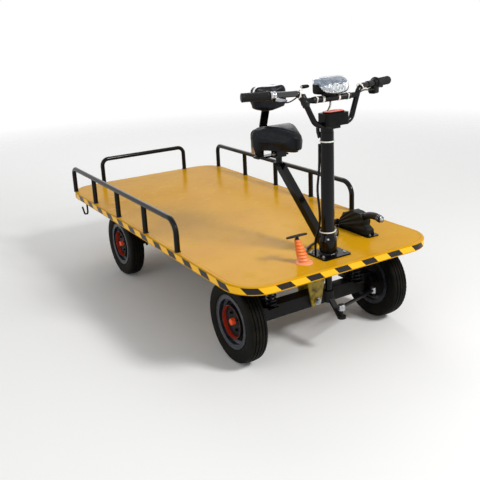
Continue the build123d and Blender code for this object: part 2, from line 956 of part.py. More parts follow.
def steering_stem():
    """Shaft through the column with the head that clamps the handlebar."""
    head_low = column_top + collar_height + stem_gap
    stem = upright(column_x, 0, shaft_bottom, head_low, shaft_radius)
    stem += upright(column_x, 0, head_low, bar_centre_z, stem_radius)
    stem += clamp_block(0)
    return stem - lower_bar(clamp_width, fit_gap)


def clamp_block(extra):
    """Block ahead of the column that holds the handlebar, grown by a clearance."""
    half_y, half_z = clamp_width / 2 + extra, clamp_height / 2 + extra
    span_z = (bar_centre_z - half_z, bar_centre_z + half_z)
    return block((column_x, column_x + clamp_front + extra), (-half_y, half_y), span_z)


def lower_bar(reach, extra):
    """Straight lower run of the handlebar, grown by a clearance."""
    x, z = bar_foot[0], bar_centre_z
    return round_bar((x, -reach, z), (x, reach, z), bar_radius + extra)


def bar_points():
    def right(point):
        return (point[0], -point[1], point[2])

    return [right(bar_end), right(bar_shoulder), right(bar_foot), bar_foot, bar_shoulder, bar_end]


def crossbar_end():
    """Where the crossbar meets the left riser."""
    share = (crossbar_z - bar_centre_z) / (bar_shoulder[2] - bar_centre_z)
    return [low + share * (high - low) for low, high in zip(bar_foot, bar_shoulder)]


def handlebar():
    bends = [bar_shoulder_bend, bar_foot_bend, bar_foot_bend, bar_shoulder_bend]
    bar = bent_tube(bar_points(), bends, bar_radius)
    x, y, z = crossbar_end()
    return bar + round_bar((x, -y, crossbar_z), (x, y, crossbar_z), crossbar_radius)


def along_grip(distance):
    """Point on the left grip's axis at a distance inwards from the bar's end."""
    end, shoulder = Vector(*bar_end), Vector(*bar_shoulder)
    return end + (shoulder - end).normalized() * distance


def grip(length):
    """Left grip as a sleeve closed at the bar's end."""
    outer, inner = along_grip(-grip_end_wall), along_grip(length)
    body = round_bar(tuple(outer), tuple(inner), grip_radius)
    past = along_grip(length + grip_radius)
    core = round_bar(tuple(along_grip(-fit_gap)), tuple(past), bar_radius + fit_gap)
    return body - core


def grips():
    return Compound([grip(left_grip_length), mirrored(grip(right_grip_length))])


def left_control():
    """Clamp housing inside the left grip and the stub of its lever."""
    near = left_grip_length + control_gap
    far = near + control_block_width
    axis = Vector(*bar_shoulder) - Vector(*bar_end)
    place = Plane(origin=along_grip(near), z_dir=axis, x_dir=(0, 0, 1))
    outline = RectangleRounded(control_block_height, control_block_depth, control_block_corner)
    body = extrude(place * outline, control_block_width)
    offset = Vector(lever_forward, 0, -lever_drop)
    stub_root, stub_tip = along_grip(near) + offset, along_grip(lever_end) + offset
    body += round_bar(tuple(stub_root), tuple(stub_tip), lever_radius)
    return body - round_bar(tuple(along_grip(near)), tuple(along_grip(far)), bar_radius + fit_gap)


def right_clamp():
    """Grooved clamp ring of the right side, drawn on the left, with the short blade under it."""
    def ring(start, length, radius):
        return round_bar(tuple(along_grip(start)), tuple(along_grip(start + length)), radius)

    clamp = ring(clamp_ring_start, clamp_ring_length, clamp_ring_radius)
    groove = clamp_ring_start + (clamp_ring_length - clamp_ring_groove_width) / 2
    band = ring(groove, clamp_ring_groove_width, clamp_ring_radius)
    clamp -= band - ring(groove, clamp_ring_groove_width, clamp_ring_groove)
    x = column_x + blade_forward
    corners = []
    for (y, z), lift in ((blade_start, 1), (blade_end, 1), (blade_end, -1), (blade_start, -1)):
        corners.append((x, y, z + lift * blade_height / 2))
    side = make_face(Polyline(*corners, close=True))
    blade = extrude(side, blade_thickness / 2, dir=(1, 0, 0), both=True)
    middle = along_grip(clamp_ring_start + clamp_ring_length / 2)
    foot = (x, blade_start[0] - blade_height / 2, blade_start[1])
    post = round_bar(tuple(middle), foot, blade_post_radius)
    past = along_grip(2 * clamp_ring_start)
    core = round_bar(tuple(along_grip(0)), tuple(past), bar_radius + fit_gap)
    return clamp + post + blade - core


def pod():
    """Small oval pod on a stalk that stands on the bend of the bar, drawn on the left."""
    x, y, z = column_x + pod_place[0], pod_place[1], pod_place[2]
    body = Pos(x, y, z) * Box(pod_depth, pod_length, pod_height)
    body = fillet(body.edges(), pod_round)
    foot = (column_x + pod_stalk_foot[0], pod_stalk_foot[1], pod_stalk_foot[2])
    return body + round_bar((x, y, z), foot, pod_stalk_radius) - handlebar()


def bar_controls():
    return Compound([left_control(), mirrored(right_clamp()), mirrored(pod())])


def headlight_body():
    """Whole headlight as one rounded block."""
    half = headlight_height / 2
    body = block(
        (headlight_back_x, headlight_back_x + headlight_depth),
        (-headlight_width / 2, headlight_width / 2),
        (headlight_centre_z - half, headlight_centre_z + half),
    )
    body = fillet(body.edges().filter_by(Axis.X), headlight_round)
    return fillet(body.faces().sort_by(Axis.X)[-1].edges(), headlight_edge)


def lens_side():
    """Everything above the slanted joint between shell and lens."""
    low, high = headlight_back_x, headlight_back_x + headlight_depth
    top = headlight_centre_z + headlight_height
    outline = [(low - 1, lens_back_z), (high + 1, lens_front_z), (high + 1, top), (low - 1, top)]
    return side_profile(outline, 2 * headlight_width)


def headlight_shell():
    bracket_x = crossbar_end()[0]
    shell_low = headlight_centre_z - headlight_height / 2
    bracket = block(
        (bracket_x - bracket_half_length, bracket_x + bracket_half_length),
        (-bracket_half_width, bracket_half_width),
        (crossbar_z, shell_low + bracket_bite),
    )
    reach = 2 * bracket_half_width
    left, right = (bracket_x, -reach, crossbar_z), (bracket_x, reach, crossbar_z)
    bracket -= round_bar(left, right, crossbar_radius + fit_gap)
    return headlight_body() - lens_side() + bracket


def headlight_lens():
    return headlight_body() & lens_side()


def switch_box():
    x, half = column_x + switch_box_back, switch_box_width / 2
    top = switch_box_bottom + switch_box_height
    box = block((x, x + switch_box_depth), (-half, half), (switch_box_bottom, top))
    box = fillet(box.edges().filter_by(Axis.Z), switch_box_corner)
    inset = switch_cover_inset
    cover = SlotOverall(switch_box_width - inset, switch_box_depth - inset, rotation=90)
    box += extrude(Pos(x + switch_box_depth / 2, 0, top) * cover, switch_cover_height)
    box -= clamp_block(fit_gap) + lower_bar(half, fit_gap)
    return box - upright(column_x, 0, column_top, bar_centre_z + fit_gap, stem_radius + fit_gap)


# Saddle and backrest


def seat_strut():
    foot = Vector(column_x - strut_foot_setback, 0, strut_foot_z)
    head = Vector(strut_head_x, 0, strut_head_z)
    run = (head - foot).normalized()
    side = Vector(-run.Z, 0, run.X) * (strut_size / 2)
    start, end = foot - run * strut_overrun, head + run * strut_overrun
    corners = [start + side, end + side, end - side, start - side]
    bar = side_profile([(p.X, p.Z) for p in corners], strut_size)
    bar &= block((saddle_rear_x, column_x), (-strut_size, strut_size), (plate_top, strut_head_z))
    bar -= socket_form(fit_gap)
    return bar - upright(column_x, 0, plate_top, column_top, column_radius + fit_gap)


def saddle_outline(inset):
    rear_x = saddle_rear_x + saddle_rear_radius
    rear_y = saddle_half_width - saddle_rear_radius
    nose_x = saddle_nose_x - saddle_nose_radius
    rounds = [
        Pos(rear_x, rear_y) * Circle(saddle_rear_radius - inset),
        Pos(rear_x, -rear_y) * Circle(saddle_rear_radius - inset),
        Pos(nose_x, 0) * Circle(saddle_nose_radius - inset),
    ]
    edges = [edge for disc in rounds for edge in disc.edges()]
    return make_hull(edges)


def coil_arm_level():
    low = strut_head_z + coil_arm_rise
    return (low, low + coil_arm_thickness)


def saddle_mount():
    """Post and clamp on the strut, the arm under the coils, carrying plate and backrest bar."""
    x, coil_x = strut_head_x, strut_head_x - coil_setback
    clamp_low = coil_arm_level()[0] + post_clamp_rise
    half, seat = post_clamp_half, coil_seat_half
    mount = upright(x, 0, strut_head_z, saddle_plate_low, post_radius)
    mount += block((x - half, x + half), (-half, half), (clamp_low, clamp_low + post_clamp_height))
    mount += block((coil_x, x), (-coil_arm_half_width, coil_arm_half_width), coil_arm_level())
    mount += block((coil_x - seat, coil_x + seat), (-coil_spread - seat, coil_spread + seat), coil_arm_level())
    plate = Pos(0, 0, saddle_plate_low) * saddle_outline(saddle_plate_inset)
    return mount + extrude(plate, saddle_plate_thickness) + backrest_bar()


def backrest_bar():
    """Flat bar from under the saddle round its rear and up behind the pad."""
    t = backrest_bar_thickness
    front_x = saddle_rear_x + backrest_bar_foot
    rear_x = saddle_rear_x - backrest_bar_overhang
    pad_x = backrest_front_x - backrest_thickness
    top = backrest_centre_z + backrest_bar_top_rise
    path = [
        (front_x, saddle_plate_low - t),
        (rear_x, saddle_plate_low - t),
        (rear_x, backrest_bar_knee_z),
        (pad_x - t, backrest_bar_seat_z),
        (pad_x - t, top),
        (pad_x, top),
        (pad_x, backrest_bar_seat_z),
        (rear_x + t, backrest_bar_knee_z),
        (rear_x + t, saddle_plate_low),
        (front_x, saddle_plate_low),
    ]
    return side_profile(path, backrest_bar_width)


def saddle_coils():
    low = coil_arm_level()[1]
    coils = []
    for side in (-1, 1):
        place = Pos(strut_head_x - coil_setback, side * coil_spread, low)
        coils.append(place * coil(saddle_plate_low - low, saddle_coil_turns))
    return Compound(coils)


def saddle():
    body = extrude(Pos(0, 0, saddle_bottom) * saddle_outline(0), saddle_crest_top - saddle_bottom)
    rear, nose = saddle_rear_x - 1, saddle_nose_x + 1
    crest = (saddle_rear_x + saddle_crest_run, saddle_crest_top)
    neck = (saddle_nose_x - saddle_neck_run, saddle_neck_top)
    ridge = [
        TangentArc((crest[0], crest[1]), (rear, saddle_rear_top), tangent=(-1, 0)),
        TangentArc((crest[0], crest[1]), neck, tangent=(1, 0)),
        Polyline(
            neck, (nose, saddle_nose_top), (nose, saddle_bottom), (rear, saddle_bottom), (rear, saddle_rear_top)
        ),
    ]
    side = make_face(Plane.XZ * Curve(ridge))
    return body & extrude(side, saddle_half_width + 1, both=True)


def backrest_pad():
    half, foot_z = backrest_height / 2, backrest_centre_z - backrest_height / 2
    rows = (
        (backrest_top_width, backrest_centre_z + half),
        (backrest_width, backrest_centre_z - backrest_waist_drop),
        (backrest_low_width, foot_z + backrest_low_rise),
        (backrest_foot_width, foot_z),
    )
    left = [(backrest_front_x, -width / 2, z) for width, z in reversed(rows)]
    right = [(backrest_front_x, width / 2, z) for width, z in rows]
    pad = extrude(make_face(Polyline(*left, *right, close=True)), backrest_thickness, dir=(-1, 0, 0))
    top_corners = pad.edges().filter_by(Axis.X).group_by(Axis.Z)[-1]
    pad = fillet(top_corners, backrest_corner)
    return fillet(pad.faces().sort_by(Axis.X)[-1].edges(), backrest_edge)


# Pedal, handbrake and cables


def pedal_boot():
    """Ribbed bellows as stacked rings that shrink upwards and lean with the pedal arm."""
    step = boot_height / boot_pleats
    shape = None
    for pleat in range(boot_pleats):
        share = pleat / (boot_pleats - 1)
        wide = boot_base_radius + share * (boot_top_radius - boot_base_radius)
        x = column_x + boot_forward - share * boot_lean
        z = deck_top + pleat * step
        ring = Pos(x, boot_y, z) * Cone(
            wide, wide * boot_waist, step, align=(Align.CENTER, Align.CENTER, Align.MIN)
        )
        shape = ring if shape is None else shape + ring
    return shape


def brake_pedal():
    x = column_x + boot_forward - boot_lean
    outline = SlotOverall(pedal_pad_width, pedal_pad_length, rotation=90)
    pad = extrude(Pos(x, boot_y - pedal_pad_shift, pedal_pad_z) * outline, pedal_pad_thickness)
    arm = upright(x, boot_y, deck_top + boot_height, pedal_pad_z, boot_top_radius * pedal_arm_share)
    return pad + arm


def handbrake_plate():
    middle_x = column_x - handbrake_plate_setback + handbrake_plate_length / 2
    outline = RectangleRounded(handbrake_plate_length, handbrake_plate_width, handbrake_plate_corner)
    return extrude(Pos(middle_x, handbrake_y, deck_top) * outline, handbrake_plate_thickness)


def lever_point(place):
    """Point over the handbrake plate from a distance behind the column and a height."""
    return (column_x - place[0], handbrake_y, place[1])


def lever_form(extra):
    """Neck and drooping grip of the handbrake lever, grown by a clearance."""
    start, crown, end = (lever_point(p) for p in (lever_grip_start, lever_grip_crown, lever_grip_end))
    droop = ThreePointArc(start, crown, end)
    hold = sweep(Plane(origin=droop @ 0, z_dir=droop % 0) * Circle(lever_grip_radius + extra), path=droop)
    return hold + round_bar(lever_point(lever_root), start, lever_neck_radius + extra)


def handbrake_lever():
    start, crown, end = (lever_point(p) for p in (lever_grip_start, lever_grip_crown, lever_grip_end))
    droop = ThreePointArc(start, crown, end)
    tip = (droop @ 1) + (droop % 1) * lever_button_length
    return lever_form(0) + round_bar(end, tuple(tip), lever_button_radius)


def handbrake_gaiter():
    outline = [(column_x - back, handbrake_base + height) for back, height in gaiter_profile]
    body = Pos(0, handbrake_y, 0) * side_profile(outline, gaiter_width)
    sides = body.faces().sort_by(Axis.Y)
    rims = sides[0].edges() + sides[-1].edges()
    upper = [edge for edge in rims if edge.center().Z > handbrake_base + gaiter_round]
    return fillet(upper, gaiter_round) - lever_form(fit_gap)


def cables():
    """Cable up the back of the column and the handbrake cable on the deck."""
    close = column_radius + column_cable_radius + cable_gap
    angle = radians(column_cable_angle)
    column_run = []
    for off, z in column_cable_route:
        column_run.append((column_x + (close + off) * cos(angle), (close + off) * sin(angle), z))
    deck_z = deck_top + deck_cable_radius + cable_gap
    deck_run = [(column_x - back, y, deck_z) for back, y in deck_cable_route]
    return Compound([held_cable(column_run, column_cable_radius), held_cable(deck_run, deck_cable_radius)])


def left_wheel(x, y, shape):
    return Pos(x, y, wheel_z) * shape


def write_parts():
    tyre_shape, rim_shape = tyre(), wheel_rim()
    guard = side_guard()
    nodes = {
        "deck_plate": deck_plate(),
        "deck_skirt": deck_skirt(),
        "frame_rails": frame_rails(),
        "cross_members": cross_member_set(),
        "guard_left": guard,
        "guard_right": mirrored(guard),
        "guard_rear": rear_guard(),
        "column_base": column_base(),
        "column_tube": column_tube(),
        "seat_strut": seat_strut(),
        "saddle_mount": saddle_mount(),
        "saddle_coils": saddle_coils(),
        "saddle": saddle(),
        "backrest_pad": backrest_pad(),
        "front_axle": front_axle(),
        "axle_bracket": axle_bracket(),
        "front_springs": front_springs(),
        "rear_axle": rear_axle(),
        "leaf_springs": leaf_springs(),
        "under_brackets": under_brackets(),
        "motor": motor(),
        "battery_box": battery_box(),
        "pedal_boot": pedal_boot(),
        "brake_pedal": brake_pedal(),
        "handbrake_plate": handbrake_plate(),
        "handbrake_gaiter": handbrake_gaiter(),
        "handbrake_lever": handbrake_lever(),
        "cables": cables(),
        "steering_stem": steering_stem(),
        "handlebar": handlebar(),
        "grips": grips(),
        "bar_controls": bar_controls(),
        "headlight_shell": headlight_shell(),
        "headlight_lens": headlight_lens(),
        "switch_box": switch_box(),
        "drop_arm": drop_arm(),
        "drag_link": drag_link(),
        "tie_rod": tie_rod(),
        "knuckle_left": knuckle(front_arm=True),
        "knuckle_right": mirrored(knuckle(front_arm=False)),
    }
    places = (
        ("front", front_axle_x, front_track_half),
        ("rear", rear_axle_x, rear_track_half),
    )
    for name, x, y in places:
        for part, shape in (("tyre", tyre_shape), ("rim", rim_shape)):
            left = left_wheel(x, y, shape)
            nodes[f"{part}_{name}_left"] = left
            nodes[f"{part}_{name}_right"] = mirrored(left)
    os.makedirs("parts", exist_ok=True)
    for name, shape in nodes.items():
        export_step(shape, f"parts/{name}.step")


write_parts()
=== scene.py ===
import json
from math import atan2, cos, exp, hypot, pi, radians, sin, sqrt, tau
import bmesh
import bpy
from mathutils import Matrix, Vector


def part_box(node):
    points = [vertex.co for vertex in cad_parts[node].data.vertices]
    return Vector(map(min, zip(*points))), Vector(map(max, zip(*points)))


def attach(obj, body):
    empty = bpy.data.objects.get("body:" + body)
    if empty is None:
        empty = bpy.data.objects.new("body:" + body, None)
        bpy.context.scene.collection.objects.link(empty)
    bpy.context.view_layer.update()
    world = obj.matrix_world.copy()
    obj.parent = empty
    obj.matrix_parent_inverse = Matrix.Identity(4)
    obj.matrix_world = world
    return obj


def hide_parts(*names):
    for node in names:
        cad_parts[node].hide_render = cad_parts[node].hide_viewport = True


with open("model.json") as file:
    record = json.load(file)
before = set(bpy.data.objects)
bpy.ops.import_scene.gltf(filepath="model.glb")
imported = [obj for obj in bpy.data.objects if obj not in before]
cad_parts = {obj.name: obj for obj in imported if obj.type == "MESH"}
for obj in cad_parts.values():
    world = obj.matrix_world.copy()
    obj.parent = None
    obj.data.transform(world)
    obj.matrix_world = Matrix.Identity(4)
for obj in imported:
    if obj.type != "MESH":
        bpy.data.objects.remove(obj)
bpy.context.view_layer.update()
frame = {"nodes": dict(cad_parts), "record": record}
scene = bpy.context.scene
scene.view_settings.view_transform = "Standard"

# Places and sizes are in millimetres, as in the part's source; a piece turns to metres when it is finished.
CAMERA_PLACE = (2.94722, -1.65717, 1.40076)
CAMERA_HEADING, CAMERA_DOWN, CAMERA_ROLL = -30.841, 16.7463, -2.7566
DECK_HALF_LENGTH, DECK_HALF_WIDTH, DECK_TOP, DECK_CORNER = 1000, 500, 420, 145
COLUMN_X = 865
BAR_END, BAR_SHOULDER, BAR_FOOT = (820, 357, 1095), (889, 143, 1095), (905, 85, 967)
CROSSBAR_X, CROSSBAR_Z = 893, 1064
WHEELS = {
    "front_left": (737, 375, 1),
    "front_right": (737, -375, -1),
    "rear_left": (-500, 360, 1),
    "rear_right": (-500, -360, -1),
}
WHEEL_Z = 178
SPECULAR = "Specular IOR Level"


def new_object(name, data):
    """An object in the scene."""
    made = bpy.data.objects.new(name, data)
    scene.collection.objects.link(made)
    return made


def add_camera():
    """The photograph's viewpoint: heading, downward tilt and roll in degrees."""
    heading, down, roll = (radians(v) for v in (CAMERA_HEADING, CAMERA_DOWN, CAMERA_ROLL))
    ahead = Vector((-cos(heading) * cos(down), -sin(heading) * cos(down), -sin(down)))
    level = ahead.cross(Vector((0, 0, 1))).normalized()
    upright = level.cross(ahead)
    right = cos(roll) * level + sin(roll) * upright
    top = -sin(roll) * level + cos(roll) * upright
    lens = bpy.data.cameras.new("camera")
    lens.lens, lens.sensor_width, lens.shift_x, lens.shift_y = 50.786, 36, -0.00104, -0.0531
    scene.camera = new_object("camera", lens)
    scene.camera.matrix_world = Matrix.Translation(CAMERA_PLACE) @ Matrix((right, top, -ahead)).transposed().to_4x4()


# Materials


def linear(hex_colour):
    """sRGB hex to linear RGBA."""
    parts = [int(hex_colour[i:i + 2], 16) / 255 for i in (1, 3, 5)]
    return [c / 12.92 if c <= 0.04045 else ((c + 0.055) / 1.055) ** 2.4 for c in parts] + [1]


def node(tree, kind, settings=None, values=None, links=None):
    """Adds a shader node: settings are its properties, values its sockets' defaults, links its inputs."""
    made = tree.nodes.new("ShaderNode" + kind)
    for key, value in (settings or {}).items():
        setattr(made, key, value)
    for key, value in (values or {}).items():
        made.inputs[key].default_value = value
    for key, source in (links or {}).items():
        tree.links.new(source, made.inputs[key])
    return made


def new_material(name):
    material = bpy.data.materials.new(name)
    material.use_nodes = True
    tree = material.node_tree
    tree.nodes.clear()
    return material, tree


def shader_out(tree, shader):
    node(tree, "OutputMaterial", links={"Surface": shader.outputs[0]})


def own_place(tree):
    """The object's own coordinates, in metres."""
    return node(tree, "TexCoord").outputs["Object"]


def spread(tree, value, start, full):
    """A mask that grows from 0 to 1 between two levels of the value."""
    return node(tree, "MapRange", values={"From Min": start, "From Max": full},
                links={"Value": value}).outputs["Result"]


def noise(tree, place, scale, detail):
    return node(tree, "TexNoise", values={"Scale": scale, "Detail": detail}, links={"Vector": place}).outputs["Fac"]


def patches(tree, size_mm, detail, low, high):
    """A mask of soft patches about that large; low and high are the noise levels where it starts and is full."""
    return spread(tree, noise(tree, own_place(tree), 1000 / size_mm, detail), low, high)


def shade(tree, mask, first, second):
    """Colour that goes from the first to the second with the mask; each is hex or another colour's socket."""
    mix = node(tree, "Mix", settings={"data_type": "RGBA"}, links={0: mask})
    for socket, colour in ((6, first), (7, second)):
        if isinstance(colour, str):
            mix.inputs[socket].default_value = linear(colour)
        else:
            tree.links.new(colour, mix.inputs[socket])
    return mix.outputs[2]


def gloss(tree, mask, first, second):
    """Roughness from the first to the second with the mask."""
    return node(tree, "MapRange", values={"To Min": first, "To Max": second}, links={"Value": mask}).outputs["Result"]


def relief(tree, height, depth_mm, strength=1):
    """Normal of a surface that the height lifts by that depth."""
    return node(tree, "Bump", values={"Strength": strength, "Distance": depth_mm / 1000},
                links={"Height": height}).outputs["Normal"]


def coated(tree, material, values, links):
    """Finishes a material with one principled shader."""
    shader_out(tree, node(tree, "BsdfPrincipled", values=values, links=links))
    return material


def toned(tree, material, values, colour, mask, roughness, *lift):
    """Finishes a material whose roughness follows a mask. A lift is a height, its depth in millimetres and its
    strength."""
    links = {"Base Color": colour, "Roughness": gloss(tree, mask, *roughness)}
    if lift:
        links["Normal"] = relief(tree, *lift)
    return coated(tree, material, values, links)


def two_tone(name, patch, colours, roughness, values, grain=None):
    """A finish whose colour and roughness go from the first to the second in soft patches. A patch is its size in
    millimetres, its detail and the noise levels where it starts and is full. A grain is the size in millimetres, the
    detail, the depth in millimetres and the strength of a fine relief."""
    material, tree = new_material(name)
    mask = patches(tree, *patch)
    lift = (patches(tree, *grain[:2], 0, 1), *grain[2:]) if grain else ()
    return toned(tree, material, values, shade(tree, mask, *colours), mask, roughness, *lift)


def stretched(tree, scale, detail):
    """Noise drawn out along an axis, by cells per metre along X, Y and Z."""
    drawn = node(tree, "Mapping", values={"Scale": scale}, links={"Vector": own_place(tree)})
    return noise(tree, drawn.outputs["Vector"], 1, detail)


def below(tree, start, full):
    """A mask that grows downwards between two heights in metres."""
    split = node(tree, "SeparateXYZ", links={"Vector": own_place(tree)})
    return spread(tree, split.outputs["Z"], start, full)


def cells(tree, size_mm, feature, output):
    """Irregular cells of about that size: their colours, or the distance to their edges."""
    return node(tree, "TexVoronoi", settings={"feature": feature}, values={"Scale": 1000 / size_mm},
                links={"Vector": own_place(tree)}).outputs[output]


def maths(tree, operation, first, second):
    """A math node; an operand is a number or a socket."""
    made = node(tree, "Math", settings={"operation": operation}, links={0: first})
    if isinstance(second, float):
        made.inputs[1].default_value = second
    else:
        tree.links.new(second, made.inputs[1])
    return made.outputs[0]


def blend(tree, share, first, second):
    """Mixes two shaders."""
    return node(tree, "MixShader", links={0: share, 1: first.outputs[0], 2: second.outputs[0]})


def deck_enamel():
    """Ochre enamel sprayed on sheet steel: a cloudy satin gloss with orange peel, dulled in places by dust."""
    material, tree = new_material("sprayed_deck_enamel")
    cloud = patches(tree, 300, 4, 0.32, 0.7)
    dust = patches(tree, 60, 7, 0.5, 0.78)
    peel = patches(tree, 7, 2, 0, 1)
    colour = shade(tree, dust, shade(tree, cloud, "#D69E10", "#CB9008"), "#CE9E28")
    return toned(tree, material, {SPECULAR: 0.035}, colour, dust, (0.2, 0.4), peel, 0.25, 0.35)


def hazard_tape():
    """Printed vinyl warning tape: smooth, with black and signal-yellow slanted fields that the tape's own UV map
    carries, and a little scuffing."""
    material, tree = new_material("printed_hazard_tape")
    black_share = 0.486
    along = node(tree, "UVMap", settings={"uv_map": "tape"})
    split = node(tree, "SeparateXYZ", links={"Vector": along.outputs["UV"]})
    field = node(tree, "Math", settings={"operation": "FRACT"}, links={0: split.outputs["X"]})
    black = maths(tree, "LESS_THAN", field.outputs[0], black_share)
    scuff = patches(tree, 18, 8, 0.6, 0.85)
    ink = shade(tree, scuff, "#17120E", "#33291C")
    yellow = shade(tree, scuff, "#FBBD0E", "#E9AC22")
    return toned(tree, material, {SPECULAR: 0.25}, shade(tree, black, yellow, ink), scuff, (0.3, 0.5))


def saddle_vinyl():
    """Blue-black embossed vinyl stretched over foam: a satin sheen and a leather grain of about a millimetre, drawn
    at 2 mm so that it shows."""
    material, tree = new_material("embossed_saddle_vinyl")
    groove = spread(tree, cells(tree, 2, "DISTANCE_TO_EDGE", "Distance"), 0, 0.25)
    wear = patches(tree, 45, 5, 0.42, 0.75)
    colour = shade(tree, wear, "#080A0E", "#10141C")
    return toned(tree, material, {SPECULAR: 0.16}, colour, wear, (0.32, 0.46), groove, 0.12, 0.6)


def panel_vinyl():
    """Olive-brown vinyl of the saddle's rear panel: satin, lighter and tanned where it wraps under."""
    material, tree = new_material("olive_panel_vinyl")
    wear = patches(tree, 20, 5, 0.4, 0.8)
    colour = shade(tree, below(tree, 0.832, 0.812), shade(tree, wear, "#3F3B1F", "#4C4424"), "#A98360")
    return toned(tree, material, {SPECULAR: 0.2}, colour, wear, (0.36, 0.5))


def bellows_rubber():
    """Orange rubber bellows: semi-matt and warm, paler where it flexes and dusty at its foot."""
    material, tree = new_material("orange_bellows_rubber")
    bloom = patches(tree, 14, 5, 0.4, 0.8)
    colour = shade(tree, below(tree, 0.46, 0.42), shade(tree, bloom, "#EC7226", "#F2964C"), "#F1A070")
    values = {"Subsurface Weight": 0.1, "Subsurface Scale": 0.004}
    return toned(tree, material, values, colour, bloom, (0.4, 0.6))


def lens_cover():
    """Clear polycarbonate headlight cover: thin and glossy, hardly tinted, with a few fine flow streaks."""
    material, tree = new_material("clear_polycarbonate_cover")
    streak = stretched(tree, (40, 260, 20), 2)
    return coated(tree, material,
                  {"Transmission Weight": 1, "Roughness": 0.03, "IOR": 1.2, "Base Color": linear("#FCFDFE")},
                  {"Normal": relief(tree, streak, 0.4, 0.5)})


def sky_reflector():
    """Fluted upper part of the reflector: vacuum-metallised plastic with fine upright streaks; its blue-grey colour,
    lighter and darker along the streaks, is a painted reflection of the sky.
    """
    material, tree = new_material("fluted_metallised_plastic_painted_sky")
    streak = stretched(tree, (60, 330, 12), 3)
    return coated(tree, material, {"Metallic": 0.6, "Roughness": 0.28},
                  {"Base Color": shade(tree, spread(tree, streak, 0.35, 0.65), "#5C6673", "#98A1AE"),
                   "Normal": relief(tree, streak, 0.6, 0.6)})


def facet_reflector_painted_glints():
    """Faceted lower reflector: vacuum-metallised silver whose facets, some 9 mm wide, differ in brightness; that
    difference is a painted reflection, one brightness per facet.
    """
    material, tree = new_material("faceted_silver_painted_glints")
    tone = node(tree, "SeparateColor", links={"Color": cells(tree, 9, "F1", "Color")})
    haze = patches(tree, 9, 4, 0.35, 0.8)
    # each facet's lighter or darker silver is a painted reflection
    colour = shade(tree, tone.outputs["Red"], "#CBCED2", "#FFFFFF")
    return toned(tree, material, {"Metallic": 0.95}, colour, haze, (0.12, 0.3))


